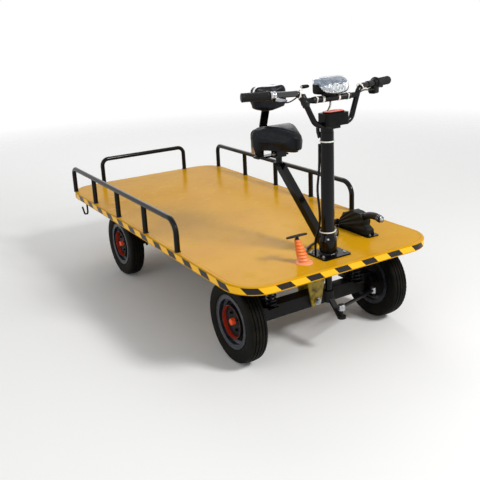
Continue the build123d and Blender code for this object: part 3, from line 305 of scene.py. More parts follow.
# each row: the material's name, patch, colours, roughness, other values and, where it has one, grain
TWO_TONES = {
    # black stoving enamel on steel tube: a deep wet gloss with slight orange peel and fine dust
    "gloss_black_enamel": (
        "gloss_black_enamel", (25, 8, 0.56, 0.85), ("#050505", "#100E0C"), (0.09, 0.26), {SPECULAR: 0.2},
        (9, 2, 0.2, 0.4)),
    # brushed chassis black on welded steel: satin, uneven, with road dust and brown film on it
    "chassis_paint": (
        "brushed_chassis_paint", (70, 7, 0.42, 0.75), ("#0E0E0F", "#1E1B18"), (0.42, 0.8), {SPECULAR: 0.18},
        (4, 3, 0.3, 0.5)),
    # yellow enamel on flame-cut plate: dull, thin and dirty, with dark chips
    "bracket_enamel": ("dull_yellow_enamel", (30, 7, 0.45, 0.72), ("#B59A22", "#5A4C1A"), (0.38, 0.7), {}),
    # vulcanised tyre rubber: dull black with a brown dust film and a fine moulded grain
    "tyre_rubber": (
        "vulcanised_tyre_rubber", (55, 8, 0.4, 0.78), ("#0A0B09", "#231F19"), (0.55, 0.9), {SPECULAR: 0.07},
        (1.6, 3, 0.25, 0.5)),
    # blue-grey enamel on pressed rims: glossy, with dust thrown up from the road
    "wheel_enamel": (
        "blue_grey_wheel_enamel", (28, 7, 0.45, 0.8), ("#20242E", "#34363A"), (0.24, 0.55), {SPECULAR: 0.5}),
    # red-orange enamel on the hub's ring, glossy in places: the red is the hub's real paint, while its tone darker than
    # the hub cap's, and the darker patches, are painted shade of the wheel's recess
    "drum_enamel": (
        "red_orange_drum_enamel", (22, 7, 0.45, 0.75), ("#B8331C", "#7A2616"), (0.3, 0.6), {SPECULAR: 0.3}),
    # bright orange enamel on the turned hub cap: a clear gloss with dark smears
    "hub_enamel": ("orange_hub_enamel", (12, 6, 0.55, 0.85), ("#F0521F", "#C9401A"), (0.25, 0.5), {SPECULAR: 0.4}),
    # zinc-plated steel fasteners: bright grey metal with a mild bloom
    "zinc_steel": ("zinc_plated_steel", (4, 5, 0.35, 0.75), ("#B4B6B9", "#77797B"), (0.18, 0.42), {"Metallic": 1}),
    # oiled spring steel: dark metal with a dull film and touches of rust
    "dark_steel": ("oiled_spring_steel", (14, 7, 0.52, 0.8), ("#26272A", "#33271F"), (0.34, 0.7), {"Metallic": 0.9}),
    # thick black enamel on the bar's right half: it mirrors its surroundings, with a few dull finger marks
    "polished_black_enamel": (
        "polished_black_enamel", (16, 6, 0.55, 0.85), ("#0A0A0B", "#191918"), (0.04, 0.2), {SPECULAR: 0.9}),
    # chrome-plated tube and clamps: a near mirror with faint polishing haze
    "chrome": ("chrome_plating", (10, 5, 0.4, 0.9), ("#C4C6C9", "#9DA0A4"), (0.06, 0.2), {"Metallic": 1}),
    # white piping on the backrest's upper edge, a painted highlight that stands in for glare on that edge: smooth and
    # slightly glossy, a little grey from handling
    "painted_highlight_piping": ("white_vinyl_piping", (15, 5, 0.5, 0.9), ("#F3F1F4", "#CFCBCB"), (0.3, 0.5), {}),
    # moulded black ABS housings: spark-eroded satin texture with a soft sheen, and dust in the texture
    "moulded_abs": (
        "moulded_black_abs", (30, 7, 0.5, 0.85), ("#090A09", "#171713"), (0.36, 0.6), {SPECULAR: 0.1},
        (1.2, 2, 0.12, 0.5)),
    # moulded soft rubber of grips and pedal: matt black, a bit greasy where it is handled
    "grip_rubber": (
        "moulded_grip_rubber", (26, 6, 0.45, 0.78), ("#0D0D0C", "#191614"), (0.42, 0.7), {SPECULAR: 0.22},
        (1.8, 3, 0.15, 0.4)),
    # thin blown rubber of the handbrake gaiter: black with a faint green-grey bloom on its folds
    "gaiter_rubber": (
        "blown_gaiter_rubber", (35, 6, 0.4, 0.75), ("#0A0D0B", "#191C15"), (0.45, 0.75), {SPECULAR: 0.2}),
    # natural nylon cable ties: milky white, slightly translucent and smooth
    "nylon": (
        "natural_nylon", (8, 3, 0.3, 0.8), ("#F1EFE8", "#DDD9CC"), (0.3, 0.45),
        {"Subsurface Weight": 0.15, "Subsurface Scale": 0.002}),
    # wound cloth insulating tape: matt black, with the lap of each turn catching light
    "friction_tape": (
        "wound_insulating_tape", (20, 6, 0.45, 0.8), ("#0C0C0D", "#191819"), (0.4, 0.68), {SPECULAR: 0.25},
        (1.5, 3, 0.2, 0.5)),
    # extruded PVC cable jacket: smooth satin black with light dust
    "cable_jacket": (
        "extruded_pvc_jacket", (16, 6, 0.5, 0.85), ("#0D0D0E", "#1E1C1A"), (0.28, 0.55), {SPECULAR: 0.22}),
    # cream PVC wire insulation: smooth, a little yellowed
    "pale_jacket": ("cream_pvc_insulation", (12, 4, 0.35, 0.8), ("#E8E2CF", "#D2C49C"), (0.32, 0.5), {}),
    # salmon-red injection-moulded cover: faded by the sun, with a satin face
    "cover_plastic": ("faded_red_plastic", (22, 5, 0.4, 0.8), ("#DB5445", "#E4796A"), (0.35, 0.5), {}),
}
SPECIAL_FINISHES = (deck_enamel, hazard_tape, saddle_vinyl, panel_vinyl, bellows_rubber, lens_cover, sky_reflector,
                    facet_reflector_painted_glints)
FINISH = {maker.__name__: maker() for maker in SPECIAL_FINISHES}
FINISH.update((name, two_tone(*row)) for name, row in TWO_TONES.items())
SLOT_FINISHES = {
    "deck_yellow": "deck_enamel",
    "black_paint": "gloss_black_enamel",
    "frame_black": "chassis_paint",
    "yellow_paint": "bracket_enamel",
    "tyre_rubber": "tyre_rubber",
    "rim_grey": "wheel_enamel",
    "steel": "dark_steel",
    "vinyl": "saddle_vinyl",
    "black_plastic": "moulded_abs",
    "black_rubber": "grip_rubber",
    "orange_rubber": "bellows_rubber",
    "lens": "facet_reflector_painted_glints",
}
NODE_FINISHES = {"cables": "cable_jacket"}


def dress_cad_nodes():
    """Each CAD node gets the finish of its slot in the record."""
    for part in frame["record"]["subparts"]:
        mesh = frame["nodes"][part["node"]].data
        mesh.materials.clear()
        finish = NODE_FINISHES.get(part["node"], SLOT_FINISHES[part["material_slot"]])
        mesh.materials.append(FINISH[finish])


# Shapes, each a bmesh in millimetres


def aimed(direction, own_axis="Z", own_top="Y"):
    """Turn that lays a shape's own axis along the direction."""
    return Vector(direction).to_track_quat(own_axis, own_top).to_matrix().to_4x4()


def at(place, axis=(0, 0, 1)):
    """Where a shape stands, with its own Z along the axis."""
    where = Matrix.Translation(place)
    return where if tuple(axis) == (0, 0, 1) else where @ aimed(axis)


def turn(degrees, axis="Z"):
    """Rotation about one of the shape's axes."""
    return Matrix.Rotation(radians(degrees), 4, axis)


def everything(bm):
    """All vertices, edges and faces of a shape."""
    return bm.verts[:] + bm.edges[:] + bm.faces[:]


def verts_in(items):
    return [item for item in items if isinstance(item, bmesh.types.BMVert)]


def scaled(bm, sizes):
    bmesh.ops.scale(bm, vec=sizes, verts=bm.verts)


def rescale(bm, factor):
    """Grows a shape by a factor, as from metres to millimetres and back."""
    scaled(bm, (factor, factor, factor))


def soften(bm, edges, offset, segments):
    """Rounds edges off."""
    bmesh.ops.bevel(bm, geom=edges, affect="EDGES", offset=offset, segments=segments, profile=0.5, material=-1)


def as_mesh(bm, name):
    """Turns a bmesh into a mesh and frees it."""
    mesh = bpy.data.meshes.new(name)
    bm.to_mesh(mesh)
    bm.free()
    return mesh


def merged_copy(source):
    """A node's mesh with its seams merged, to be shaped further."""
    same_place = 0.00002
    bm = bmesh.new()
    bm.from_mesh(frame["nodes"][source].data)
    bmesh.ops.remove_doubles(bm, verts=bm.verts, dist=same_place)
    return bm


def ramp(value, start, end):
    """Share of the way from the start to the end, from 0 to 1."""
    return min(1, max(0, (value - start) / (end - start)))


def polar(vert):
    """A vertex's distance from the Z axis and its angle round it."""
    return hypot(vert.co.x, vert.co.y), atan2(vert.co.y, vert.co.x)


def cut(bm, place, normal):
    """Splits a shape along a plane and returns the vertices of the cut."""
    made = bmesh.ops.bisect_plane(bm, geom=everything(bm), plane_co=place, plane_no=normal)
    return verts_in(made["geom_cut"])


def drawn_out(bm, faces, rise):
    """Extrudes faces along Z and returns the new end."""
    end = bmesh.ops.extrude_face_region(bm, geom=faces)["geom"]
    bmesh.ops.translate(bm, vec=(0, 0, rise), verts=verts_in(end))
    return end


def swell(vert, factor):
    """Moves a vertex away from the Z axis, or towards it, by a factor."""
    vert.co.x *= factor
    vert.co.y *= factor


def turned(profile, steps=32):
    """Full turn of a profile of (radius, height) round Z."""
    part = bmesh.new()
    line = [part.verts.new((radius, 0, height)) for radius, height in profile]
    for pair in zip(line, line[1:]):
        part.edges.new(pair)
    bmesh.ops.spin(part, geom=part.verts[:] + part.edges[:], cent=(0, 0, 0), axis=(0, 0, 1), dvec=(0, 0, 0),
                   angle=tau, steps=steps, use_merge=True)
    return part


def closed(profile):
    """The profile with its first point again at its end, unless both ends lie on the axis."""
    return (*profile, profile[0]) if profile[0][0] or profile[-1][0] else profile


def lathe(bm, profile, where=Matrix(), finish=0, steps=32):
    """Joins the full turn of a profile."""
    join(bm, turned(closed(profile), steps), where, finish)


def brick(bm, sizes, edge, where, finish=0, segments=2):
    """Joins a block with rounded edges."""
    part = block(sizes)
    soften(part, part.edges[:], edge, segments)
    join(bm, part, where, finish)


def band(radius, thickness, width, steps=32):
    """Flat ring centred on the origin."""
    low, high, outer = -width / 2, width / 2, radius + thickness
    return turned(closed(((radius, low), (outer, low), (outer, high), (radius, high))), steps)


def block(sizes):
    """A plain box, centred on the origin."""
    part = bmesh.new()
    bmesh.ops.create_cube(part, size=1)
    scaled(part, sizes)
    return part


def hex_bolt(across, height, washer):
    """Hexagon head with softened edges on a washer, standing on the origin, with the bolt's end above it."""
    part = bmesh.new()
    stand = 1.4
    top, stud = stand + height, across * 0.2
    head = bmesh.ops.create_cone(part, cap_ends=True, segments=6, radius1=across / 2, radius2=across / 2,
                                 depth=height, matrix=at((0, 0, stand + height / 2)))
    soften(part, list({edge for vert in head["verts"] for edge in vert.link_edges}), across * 0.06, 2)
    lathe(part, ((0, 0), (washer, 0), (washer, stand), (0, stand)), steps=24)
    lathe(part, ((0, top), (stud, top), (stud, top + 2.5), (0, top + 3.2)), steps=16)
    return part


def bolted(bm, sizes, spots, axis=(0, 0, 1), finish=0):
    """Bolts of one kind, by width across flats, height and washer's radius."""
    for spot in spots:
        join(bm, hex_bolt(*sizes), at(spot, axis), finish)


def coil_spring(radius, wire, height, turns):
    """Wire helix with one closed coil at each end, standing on the origin."""
    part = bmesh.new()
    bmesh.ops.create_circle(part, cap_ends=True, segments=10, radius=wire, matrix=at((radius, 0, wire)) @ turn(90, "X"))
    geom = everything(part)
    end_rise = 2 * wire * 0.9
    for count, rise in ((1, end_rise), (turns, height - 2 * wire - 2 * end_rise), (1, end_rise)):
        steps = 20 * count
        spun = bmesh.ops.spin(part, geom=geom, cent=(0, 0, 0), axis=(0, 0, 1), dvec=(0, 0, rise / steps),
                              angle=tau * count, steps=steps)
        geom = spun["geom_last"]
    return part


def join(bm, part, where=Matrix(), finish=0):
    """Adds a shape to a piece at its place, in one of the piece's finishes; None keeps what its faces have."""
    same_place = 0.001
    bmesh.ops.remove_doubles(part, verts=part.verts, dist=same_place)
    bmesh.ops.recalc_face_normals(part, faces=part.faces)
    bmesh.ops.transform(part, matrix=where, verts=part.verts)
    if finish is not None:
        for face in part.faces:
            face.material_index = finish
    mesh = as_mesh(part, "shape")
    bm.from_mesh(mesh)
    bpy.data.meshes.remove(mesh)


def piece(name, body, bm, finishes, crease=38, replaces=()):
    """Turns a bmesh in millimetres into a finished piece of one body."""
    rescale(bm, 0.001)
    return dressed(new_object(name, as_mesh(bm, name)), body, finishes, crease, replaces)


def dressed(made, body, finishes, crease=38, replaces=()):
    """Gives a piece its finishes, its smooth shading, the body that it rides on and the nodes it stands for."""
    for finish in finishes:
        made.data.materials.append(FINISH[finish])
    made.data.shade_smooth()
    made.data.set_sharp_from_angle(angle=radians(crease))
    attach(made, body)
    if replaces:
        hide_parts(*replaces)
    return made


def wire(name, body, slot, points, radius, finish):
    """Round wire along a smooth line through or near the points."""
    curve = bpy.data.curves.new(name, "CURVE")
    curve.dimensions = "3D"
    curve.bevel_depth, curve.bevel_resolution, curve.resolution_u = radius / 1000, 3, 8
    curve.use_fill_caps = True
    line = curve.splines.new("NURBS")
    line.points.add(len(points) - 1)
    for point, place in zip(line.points, points):
        point.co = (*(value / 1000 for value in place), 1)
    line.order_u, line.use_endpoint_u = 3, True
    made = new_object(name, curve)
    curve.materials.append(FINISH[finish])
    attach(made, body)
    return made


# Deck


def tape_loop():
    """Hazard tape round the skirt, with a UV map that counts stripes along it and slants them at 45 degrees."""
    proud, thickness, low, high = 0.4, 0.35, 389, 414
    front_pitch, side_pitch, first_edge, slack = 139, 147, -356, 1e-6
    straight_x, straight_y = DECK_HALF_LENGTH - DECK_CORNER, DECK_HALF_WIDTH - DECK_CORNER
    bm = bmesh.new()
    bmesh.ops.create_grid(bm, x_segments=1, y_segments=1, size=1)
    scaled(bm, (DECK_HALF_LENGTH + proud, DECK_HALF_WIDTH + proud, 1))
    bmesh.ops.bevel(bm, geom=bm.verts[:], affect="VERTICES", offset=DECK_CORNER + proud, segments=16, profile=0.5,
                    material=-1)
    bmesh.ops.translate(bm, vec=(0, 0, low), verts=bm.verts)
    bmesh.ops.delete(bm, geom=bm.faces[:], context="FACES_ONLY")
    raised = bmesh.ops.extrude_edge_only(bm, edges=bm.edges[:])
    bmesh.ops.translate(bm, vec=(0, 0, high - low), verts=verts_in(raised["geom"]))
    layer = bm.loops.layers.uv.new("tape")

    def stripes(x, y):
        """Stripes counted from the first edge on the front, towards the left side of the cart."""
        if x < -straight_x - slack or abs(y) <= straight_y + slack:
            return (y - first_edge) / front_pitch
        side = 1 if y > 0 else -1
        angle = atan2(abs(y) - straight_y, x - straight_x) if x > straight_x else pi / 2
        travelled = DECK_CORNER * angle / front_pitch + max(0, straight_x - x) / side_pitch
        return (side * straight_y - first_edge) / front_pitch + side * travelled

    for face in bm.faces:
        for loop in face.loops:
            x, y, z = loop.vert.co
            lean = (high - z) / front_pitch
            loop[layer].uv = (stripes(x, y) + (lean if x < -straight_x - slack else -lean), z - low)
    bmesh.ops.solidify(bm, geom=bm.faces[:], thickness=thickness)
    piece("hazard_tape", "chassis", bm, ["hazard_tape"], crease=60)


def weld_bead(radius, leg):
    """Fillet weld round a tube, lumpy from its drops of metal."""
    part = turned(closed(((radius, 0), (radius + leg, 0), (radius + leg * 0.75, leg * 0.6),
                          (radius + leg * 0.3, leg * 0.9), (radius, leg))), 36)
    lumps, lump_height = 12, 0.05
    for vert in part.verts:
        away, angle = polar(vert)
        if away > radius + leg * 0.2:
            swell(vert, 1 + lump_height * sin(lumps * angle))
    return part


def guard_welds():
    """Weld beads where the guard posts stand on the deck's edge, cut off at the edge."""
    bm = bmesh.new()
    posts = [(x, side * 487) for x in (-897, -561.75, -226.5, 108.75, 444) for side in (-1, 1)]
    for x, y in (*posts, (-987, -278), (-987, 278)):
        join(bm, weld_bead(12.4, 3), at((x, y, DECK_TOP)))
    for vert in bm.verts:
        vert.co.x = max(vert.co.x, -DECK_HALF_LENGTH)
        vert.co.y = min(DECK_HALF_WIDTH, max(-DECK_HALF_WIDTH, vert.co.y))
    piece("guard_welds", "chassis", bm, ["gloss_black_enamel"], crease=70)


def deck_fasteners():
    """Bolts of the column's base plate and of the handbrake plate."""
    bm = bmesh.new()
    bolted(bm, (11, 5, 7.5), ((904, -55, 427), (904, 55, 427), (828, -55, 427), (828, 55, 427)))
    bolted(bm, (9, 4, 6.5), ((812, 276, 425), (765, 306, 425), (612, 265, 425), (612, 311, 425)))
    piece("deck_bolts", "chassis", bm, ["zinc_steel"])


def column_trim():
    """Weld round the socket, and its set screws."""
    bm = bmesh.new()
    join(bm, weld_bead(36.2, 5), at((COLUMN_X, 0, 427)))
    for angle in (-38, 52, 142):
        out = Vector((cos(radians(angle)), sin(radians(angle)), 0))
        bolted(bm, (8, 4, 5.5), [Vector((COLUMN_X, 0, 492)) + out * 32], out, 1)
    piece("column_base_trim", "chassis", bm, ["gloss_black_enamel", "zinc_steel"], crease=50)


def cable_tie(bm, place, axis, radius, width=4, head_turn=0, tail=14, finish=0):
    """Nylon tie round a bar: band, locking head and cut tail."""
    where = at(place, axis) @ turn(head_turn)
    join(bm, band(radius, 1.3, width), where, finish)
    brick(bm, (5, 6.5, width + 2), 0.8, where @ at((radius + 3, 0, 0)), finish)
    if tail:
        strip = at((radius + 3, 3 + tail / 2, 0)) @ turn(-14)
        brick(bm, (1.1, tail, width), 0.4, where @ strip, finish, 1)


def column_ties():
    """Ties that hold the cable to the column."""
    bm = bmesh.new()
    cable_tie(bm, (COLUMN_X - 2.5, -2, 519), (0, 0, 1), 30.5, 4.6, 48, 22)
    cable_tie(bm, (COLUMN_X - 0.5, -0.5, 893), (0, 0, 1), 27.8, 5, 52, 6)
    piece("column_ties", "chassis", bm, ["nylon"])


# Wheels

# radius, distance from the tyre's middle; the grooves part five ribs
TYRE_WALL = ((104, 30), (116.8, 30.6), (119.5, 33.4), (123.5, 34.4), (124.5, 36), (131, 38), (142, 39.6),
             (152, 39.5), (157, 38.6), (158.6, 39.1), (161.5, 38.4), (168.5, 37), (172, 35), (173.6, 32.6))
TYRE_TREAD = ((174.6, 30), (176, 24.4), (171, 23.6), (171, 20.6), (176.6, 19.8), (177.5, 9.6),
              (172.2, 8.8), (172.2, 5.8), (177.9, 5), (178, 0))


def ribbed_tyre(where):
    """Tyre whose ribs wave across the tread and whose shoulders are notched."""
    steps, zigzag, notch = 120, 1.3, 0.993
    half = TYRE_WALL + TYRE_TREAD
    bead = ((101.4, -30), (101.4, 30), (104, 30))
    part = turned([*half, *((radius, -side) for radius, side in reversed(half[:-1])), *bead], steps)
    for vert in part.verts:
        radius, angle = polar(vert)
        odd = round(angle / tau * steps) % 2
        if 4 < abs(vert.co.z) < 26 and radius > 170.5:
            vert.co.z += zigzag if odd else -zigzag
        elif 30 < abs(vert.co.z) < 36 and radius > 171 and odd:
            swell(vert, notch)
    bm = bmesh.new()
    join(bm, part, where)
    return bm


# radius, distance outwards from the wheel's middle
RIM_SECTION = (
    (116, -34), (115.2, -31), (101, -30.5), (101, -16), (88, -11), (88, 11), (101, 16),
    (101, 30.5), (115.2, 31), (116.4, 32.4), (116.6, 34.4), (115.2, 35.6), (113.2, 35), (112, 33.4),
    (98.6, 33.8), (97.6, 32.6), (97.6, 15), (95.5, 14), (86, 10), (85, 8.5), (85, -9.5),
    (98, -14.5), (98, -33), (112.5, -33.8))
HUB_RING = ((70, 13), (69.6, 31), (70.6, 33), (73, 33), (74, 31.5), (73.2, 14))
HUB_LINER = ((69.9, 15), (69.9, 32.6), (69.1, 32.6), (69.1, 15))
HUB_PLATE = ((86.5, -3), (86, 2), (80, 8), (75.5, 15), (73, 16), (66, 15.5), (60, 17.5), (26, 18.5),
             (22, 17), (14, 17), (14, -3))
HUB_BARREL = ((12.6, 6), (12.6, -38), (24, -38), (25, -37), (25, 5))
HUB_BOSS = ((14.4, 12), (14.4, 32), (12.8, 34.8), (9, 35.4), (8.2, 34), (0, 34), (0, 12))
VALVE = ((0, 0), (5, 0), (4.6, 4), (3.2, 6), (3.2, 17), (2.4, 18), (2.4, 22), (0, 22))
WHEEL_FINISHES = ("wheel_enamel", "drum_enamel", "chassis_paint", "hub_enamel", "dark_steel", "grip_rubber")


def wheel_parts(where):
    """Pressed rim, hub ring, plate with bolts, hub and end boss, with the outer face towards the shape's +Z."""
    enamel, liner, black, orange, steel, rubber = range(len(WHEEL_FINISHES))
    bolt_circle, first_bolt, bolts = 37, 29, 4
    bm = bmesh.new()
    # the hub liner's darker red finish is the hub's red paint with painted shade of the recess
    for profile, finish, steps in ((RIM_SECTION, enamel, 72), (HUB_RING, black, 64), (HUB_LINER, liner, 64),
                                   (HUB_PLATE, black, 48), (HUB_BARREL, black, 40), (HUB_BOSS, orange, 32)):
        lathe(bm, profile, where, finish, steps)
    for count in range(bolts):
        spot = turn(first_bolt + 360 / bolts * count) @ at((bolt_circle, 0, 18.2))
        join(bm, hex_bolt(14, 8, 11), where @ spot, steel)
    stem = turn(200) @ at((92, 0, 13)) @ turn(-18, "Y")
    lathe(bm, VALVE, where @ stem, rubber, 16)
    return bm


def wheels():
    """Tyre and rim of each wheel, on the wheel's own body."""
    for corner, (x, y, side) in WHEELS.items():
        where = at((x, y, WHEEL_Z), (0, side, 0))
        body = f"wheel_{corner}"
        piece(f"tyre_{corner}_ribbed", body, ribbed_tyre(where), ["tyre_rubber"], 40, [f"tyre_{corner}"])
        piece(f"rim_{corner}_pressed", body, wheel_parts(where), WHEEL_FINISHES, 34, [f"rim_{corner}"])


# Springs and running gear


def front_coils():
    """Coil springs between the front axle and the frame."""
    bm = bmesh.new()
    for x in (697, 777):
        for y in (-232, 232):
            join(bm, coil_spring(17, 5, 113, 5), at((x, y, 214)))
    piece("front_coil_springs", "chassis", bm, ["dark_steel"], 50, ["front_springs"])


def saddle_coil_pair():
    """Coils under the saddle's rear, each on its cup."""
    bm = bmesh.new()
    for y in (-62, 62):
        join(bm, coil_spring(17.5, 4.2, 39, 2), at((463, y, 777)))
        join(bm, band(10, 10.5, 2.4), at((463, y, 778.2)))
    piece("saddle_coil_springs", "chassis", bm, ["dark_steel"], 50, ["saddle_coils"])


def axle_fasteners():
    """Kingpin caps, and the head and nut of the axle's pivot bolt."""
    bm = bmesh.new()
    for y in (-290, 290):
        lathe(bm, ((0, 0), (9, 0), (9, 2), (6, 5), (3, 6), (2.4, 9), (0, 9.6)), at((737, y, 225)), steps=24)
    for x, ahead in ((791, 1), (683, -1)):
        bolted(bm, (24, 9, 16), [(x, 0, WHEEL_Z)], (ahead, 0, 0))
    piece("axle_pin_caps", "chassis", bm, ["zinc_steel"])


def u_bolt(span, leg, radius):
    """Half ring with two straight legs that point down the shape's -Z."""
    part = bmesh.new()
    bmesh.ops.create_circle(part, cap_ends=True, segments=10, radius=radius, matrix=at((span, 0, -leg)))
    top = drawn_out(part, part.faces[:], leg)
    spun = bmesh.ops.spin(part, geom=top, cent=(0, 0, 0), axis=(0, -1, 0), dvec=(0, 0, 0), angle=pi, steps=14)
    drawn_out(part, [item for item in spun["geom_last"] if isinstance(item, bmesh.types.BMFace)], -leg)
    return part


def spring_clamps():
    """U-bolts over the rear axle tube with nuts under the leaf packs."""
    bm = bmesh.new()
    for y in (-248, -216, 216, 248):
        join(bm, u_bolt(34, 20, 5), at((-500, y, WHEEL_Z)))
        bolted(bm, (15, 8, 9), ((-534, y, 158), (-466, y, 158)), (0, 0, -1))
    piece("leaf_spring_u_bolts", "chassis", bm, ["dark_steel"])


def joint_cap(low, high):
    """Section of a ball joint's zinc-plated cap: a ringed sleeve with a domed top."""
    return ((14.1, low), (15.2, low), (15.6, low + 1.5), (15.2, low + 3), (15.2, high - 3), (13.5, high + 0.5),
            (8, high + 3.5), (0, high + 4.5), (0, high + 0.3), (14.1, high + 0.3))


def link_nuts():
    """Caps on the ball joints of the steering links, and the collars of the knuckles."""
    for name, body, spots in (
        ("drag_link_joints", "drag_link_body", ((950, 0, 196, 220), (822, 290, 154, 178))),
        ("tie_rod_joints", "tie_rod_body", ((647, 290, 154, 178), (647, -290, 154, 178))),
    ):
        bm = bmesh.new()
        for x, y, low, high in spots:
            lathe(bm, joint_cap(low + 1, high), at((x, y, 0)))
        piece(name, body, bm, ["zinc_steel"])
    for side, body in ((1, "knuckle_left_body"), (-1, "knuckle_right_body")):
        bm = bmesh.new()
        lathe(bm, ((9, 0), (13.5, 0), (14, 2.4), (12, 4), (9, 4)),
             at((737, side * 331, WHEEL_Z), (0, side, 0)), steps=24)
        piece(f"knuckle_collar_{'left' if side > 0 else 'right'}", body, bm, ["dark_steel"])


# Saddle and backrest


def settle(pad):
    """Makes the modifiers' result the piece's own mesh."""
    graph = bpy.context.evaluated_depsgraph_get()
    shaped = bpy.data.meshes.new_from_object(pad.evaluated_get(graph))
    pad.modifiers.clear()
    pad.data = shaped


def swollen_pad(name, source, shrink, voxel, cap):
    """The source solid as foam swells in its cover: remeshed, blown up as cloth, held within the cap."""
    low, high = (Vector(corner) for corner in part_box(source))
    middle = Matrix.Translation(-(low + high) / 2)
    pressure, frames = 4, 20
    bm = merged_copy(source)
    bmesh.ops.scale(bm, vec=shrink, space=middle, verts=bm.verts)
    pad = new_object(name, as_mesh(bm, name))
    remesh = pad.modifiers.new("remesh", "REMESH")
    remesh.mode = "VOXEL"
    remesh.voxel_size = voxel
    settle(pad)
    start = [vertex.co.copy() for vertex in pad.data.vertices]
    cloth = pad.modifiers.new("cloth", "CLOTH")
    cloth.settings.use_pressure = True
    cloth.settings.uniform_pressure_force = pressure
    cloth.settings.effector_weights.gravity = 0
    for step in range(1, frames + 1):
        scene.frame_set(step)
    settle(pad)
    scene.frame_set(1)
    for vertex, origin in zip(pad.data.vertices, start):
        move = vertex.co - origin
        if move.length > cap:
            vertex.co = origin + move * (cap / move.length)
    return pad


def smoothed(pad, rounds):
    """One subdivision and a few rounds of smoothing on the pad's own mesh."""
    bm = bmesh.new()
    bm.from_mesh(pad.data)
    bmesh.ops.subdivide_edges(bm, edges=bm.edges[:], cuts=1, use_grid_fill=True, smooth=0)
    for _ in range(rounds):
        bmesh.ops.smooth_vert(bm, verts=bm.verts, factor=0.5, use_axis_x=True, use_axis_y=True, use_axis_z=True)
    return bm


def saddle_inset(x, y):
    """Distance inwards from the saddle's outline, in plan: two round rear corners and a round nose."""
    rear_x, rear_y, rear_r, nose_x, nose_r = 486, 56, 56, 640, 36
    y = abs(y)
    run = Vector((nose_x - rear_x, -rear_y))
    reach = run.length
    run.normalize()
    lean = (nose_r - rear_r) / reach
    away = Vector((-run.y, run.x))
    normal = away * sqrt(1 - lean * lean) - run * lean
    point = Vector((x - rear_x, y - rear_y))
    side = rear_r - point.dot(normal)
    if x < rear_x and y > rear_y:
        return rear_r - point.length
    if x < rear_x:
        return min(side, x - (rear_x - rear_r))
    nose = nose_r - hypot(x - nose_x, y)
    return nose if x > nose_x else min(side, nose_r + (nose_x - x))


def saddle_pad():
    """Foam saddle in its vinyl cover: a crowned top panel behind a sewn fold, and an olive rear panel."""
    panel_place, panel_normal = Vector((480, 0, 857)), Vector((-1, 0, -0.38))
    fold_inset, fold_depth, fold_width, rim_z, rim_width, seam_depth = 24, 3.2, 4, 850, 18, 1.2
    pad = swollen_pad("saddle_cushion", "saddle", (1, 0.985, 0.95), 0.005, 0.007)
    bm = smoothed(pad, 6)
    rescale(bm, 1000)
    for vert in bm.verts:
        x, y, z = vert.co
        inset = saddle_inset(x, y)
        if z < rim_z:
            hem = 27 + 20 * ramp(x, 530, 480)
            vert.co.z -= hem * ramp(inset, rim_width, 0) * ramp(x, 640, 530) * ramp(z, rim_z, rim_z - 20)
            continue
        fold = fold_depth * exp(-((inset - fold_inset) / fold_width) ** 2)
        slope = (0.2 if x < 470 else 0.5) * max(0, fold_inset - max(inset, 0))
        vert.co.z -= ramp(z, rim_z, rim_z + 25) * (fold + slope)
    for vert in cut(bm, panel_place, panel_normal):
        vert.co -= vert.normal * seam_depth
    for face in bm.faces:
        face.material_index = 1 if (face.calc_center_median() - panel_place).dot(panel_normal) > 0 else 0
    rescale(bm, 0.001)
    bm.to_mesh(pad.data)
    bm.free()
    dressed(pad, "chassis", ["saddle_vinyl", "panel_vinyl"], 60, ["saddle"])


def backrest_cushion():
    """Backrest pad with white piping over its upper edge; the piping is a painted highlight, standing in for glare on
    the pad's edge.
    """
    pad = swollen_pad("backrest_cushion", "backrest_pad", (0.92, 1.05, 1.05), 0.004, 0.004)
    bm = smoothed(pad, 8)
    bm.to_mesh(pad.data)
    dressed(pad, "chassis", ["saddle_vinyl"], 60, ["backrest_pad"])
    middle, proud, group = Vector((469, 0, 1030)), 3, 6
    rescale(bm, 1000)

    def angle(place):
        return atan2(place.z - middle.z, place.y - middle.y)

    edge = [vert.co.copy() for vert in cut(bm, middle, (1, 0, 0))]
    bm.free()
    upper = sorted((place for place in edge if radians(8) < angle(place) < radians(176)), key=angle)
    groups = [upper[first:first + group] for first in range(0, len(upper), group)]
    even = [sum(places, Vector()) / len(places) for places in groups]
    line = [place + (place - middle).normalized() * proud for place in even]
    # the white piping is a painted highlight along the pad's upper edge
    wire("backrest_painted_highlight_piping", "chassis", "vinyl", line, 3.6, "painted_highlight_piping")


def seat_fasteners():
    """Bolts of the saddle's mount, of the backrest's bar and of its pad."""
    bm = bmesh.new()
    for side in (-1, 1):
        bolted(bm, (13, 7, 9), [(525, side * 24, 792)], (0, side, 0))
    bolted(bm, (10, 5, 7), ((405, -10, 850), (405, 10, 850)), (-1, 0, 0))
    bolted(bm, (10, 5, 8), ((427, 0, 990), (427, 0, 1045)), (-1, 0, 0))
    piece("seat_bolts", "chassis", bm, ["zinc_steel"])


# Pedal and handbrake


def bellows():
    """Orange bellows over the pedal's rod: a broad foot, then seven pleats that narrow and lean with the rod."""
    radii, foot, height, lean = (25, 23.8, 22.6, 21, 19, 16.5, 13.2), 9, 89, -0.195
    step = height / len(radii)
    profile = [(0, 0), (36, 0), (36, 2), (34, 3.4), (27.5, 7)]
    for count, wide in enumerate(radii):
        low = foot + count * step
        profile += [(wide * 0.85, low), (wide * 0.97, low + 0.28 * step), (wide, low + 0.44 * step),
                    (wide * 0.97, low + 0.6 * step), (wide * 0.85, low + 0.92 * step)]
    profile += [(9, foot + height), (0, foot + height)]
    part = turned(profile, 40)
    for vert in part.verts:
        vert.co.x += lean * vert.co.z
        vert.co.y += lean * vert.co.z
    bm = bmesh.new()
    join(bm, part, at((887, -140, DECK_TOP)))
    piece("pedal_bellows", "chassis", bm, ["bellows_rubber"], 50, ["pedal_boot"])


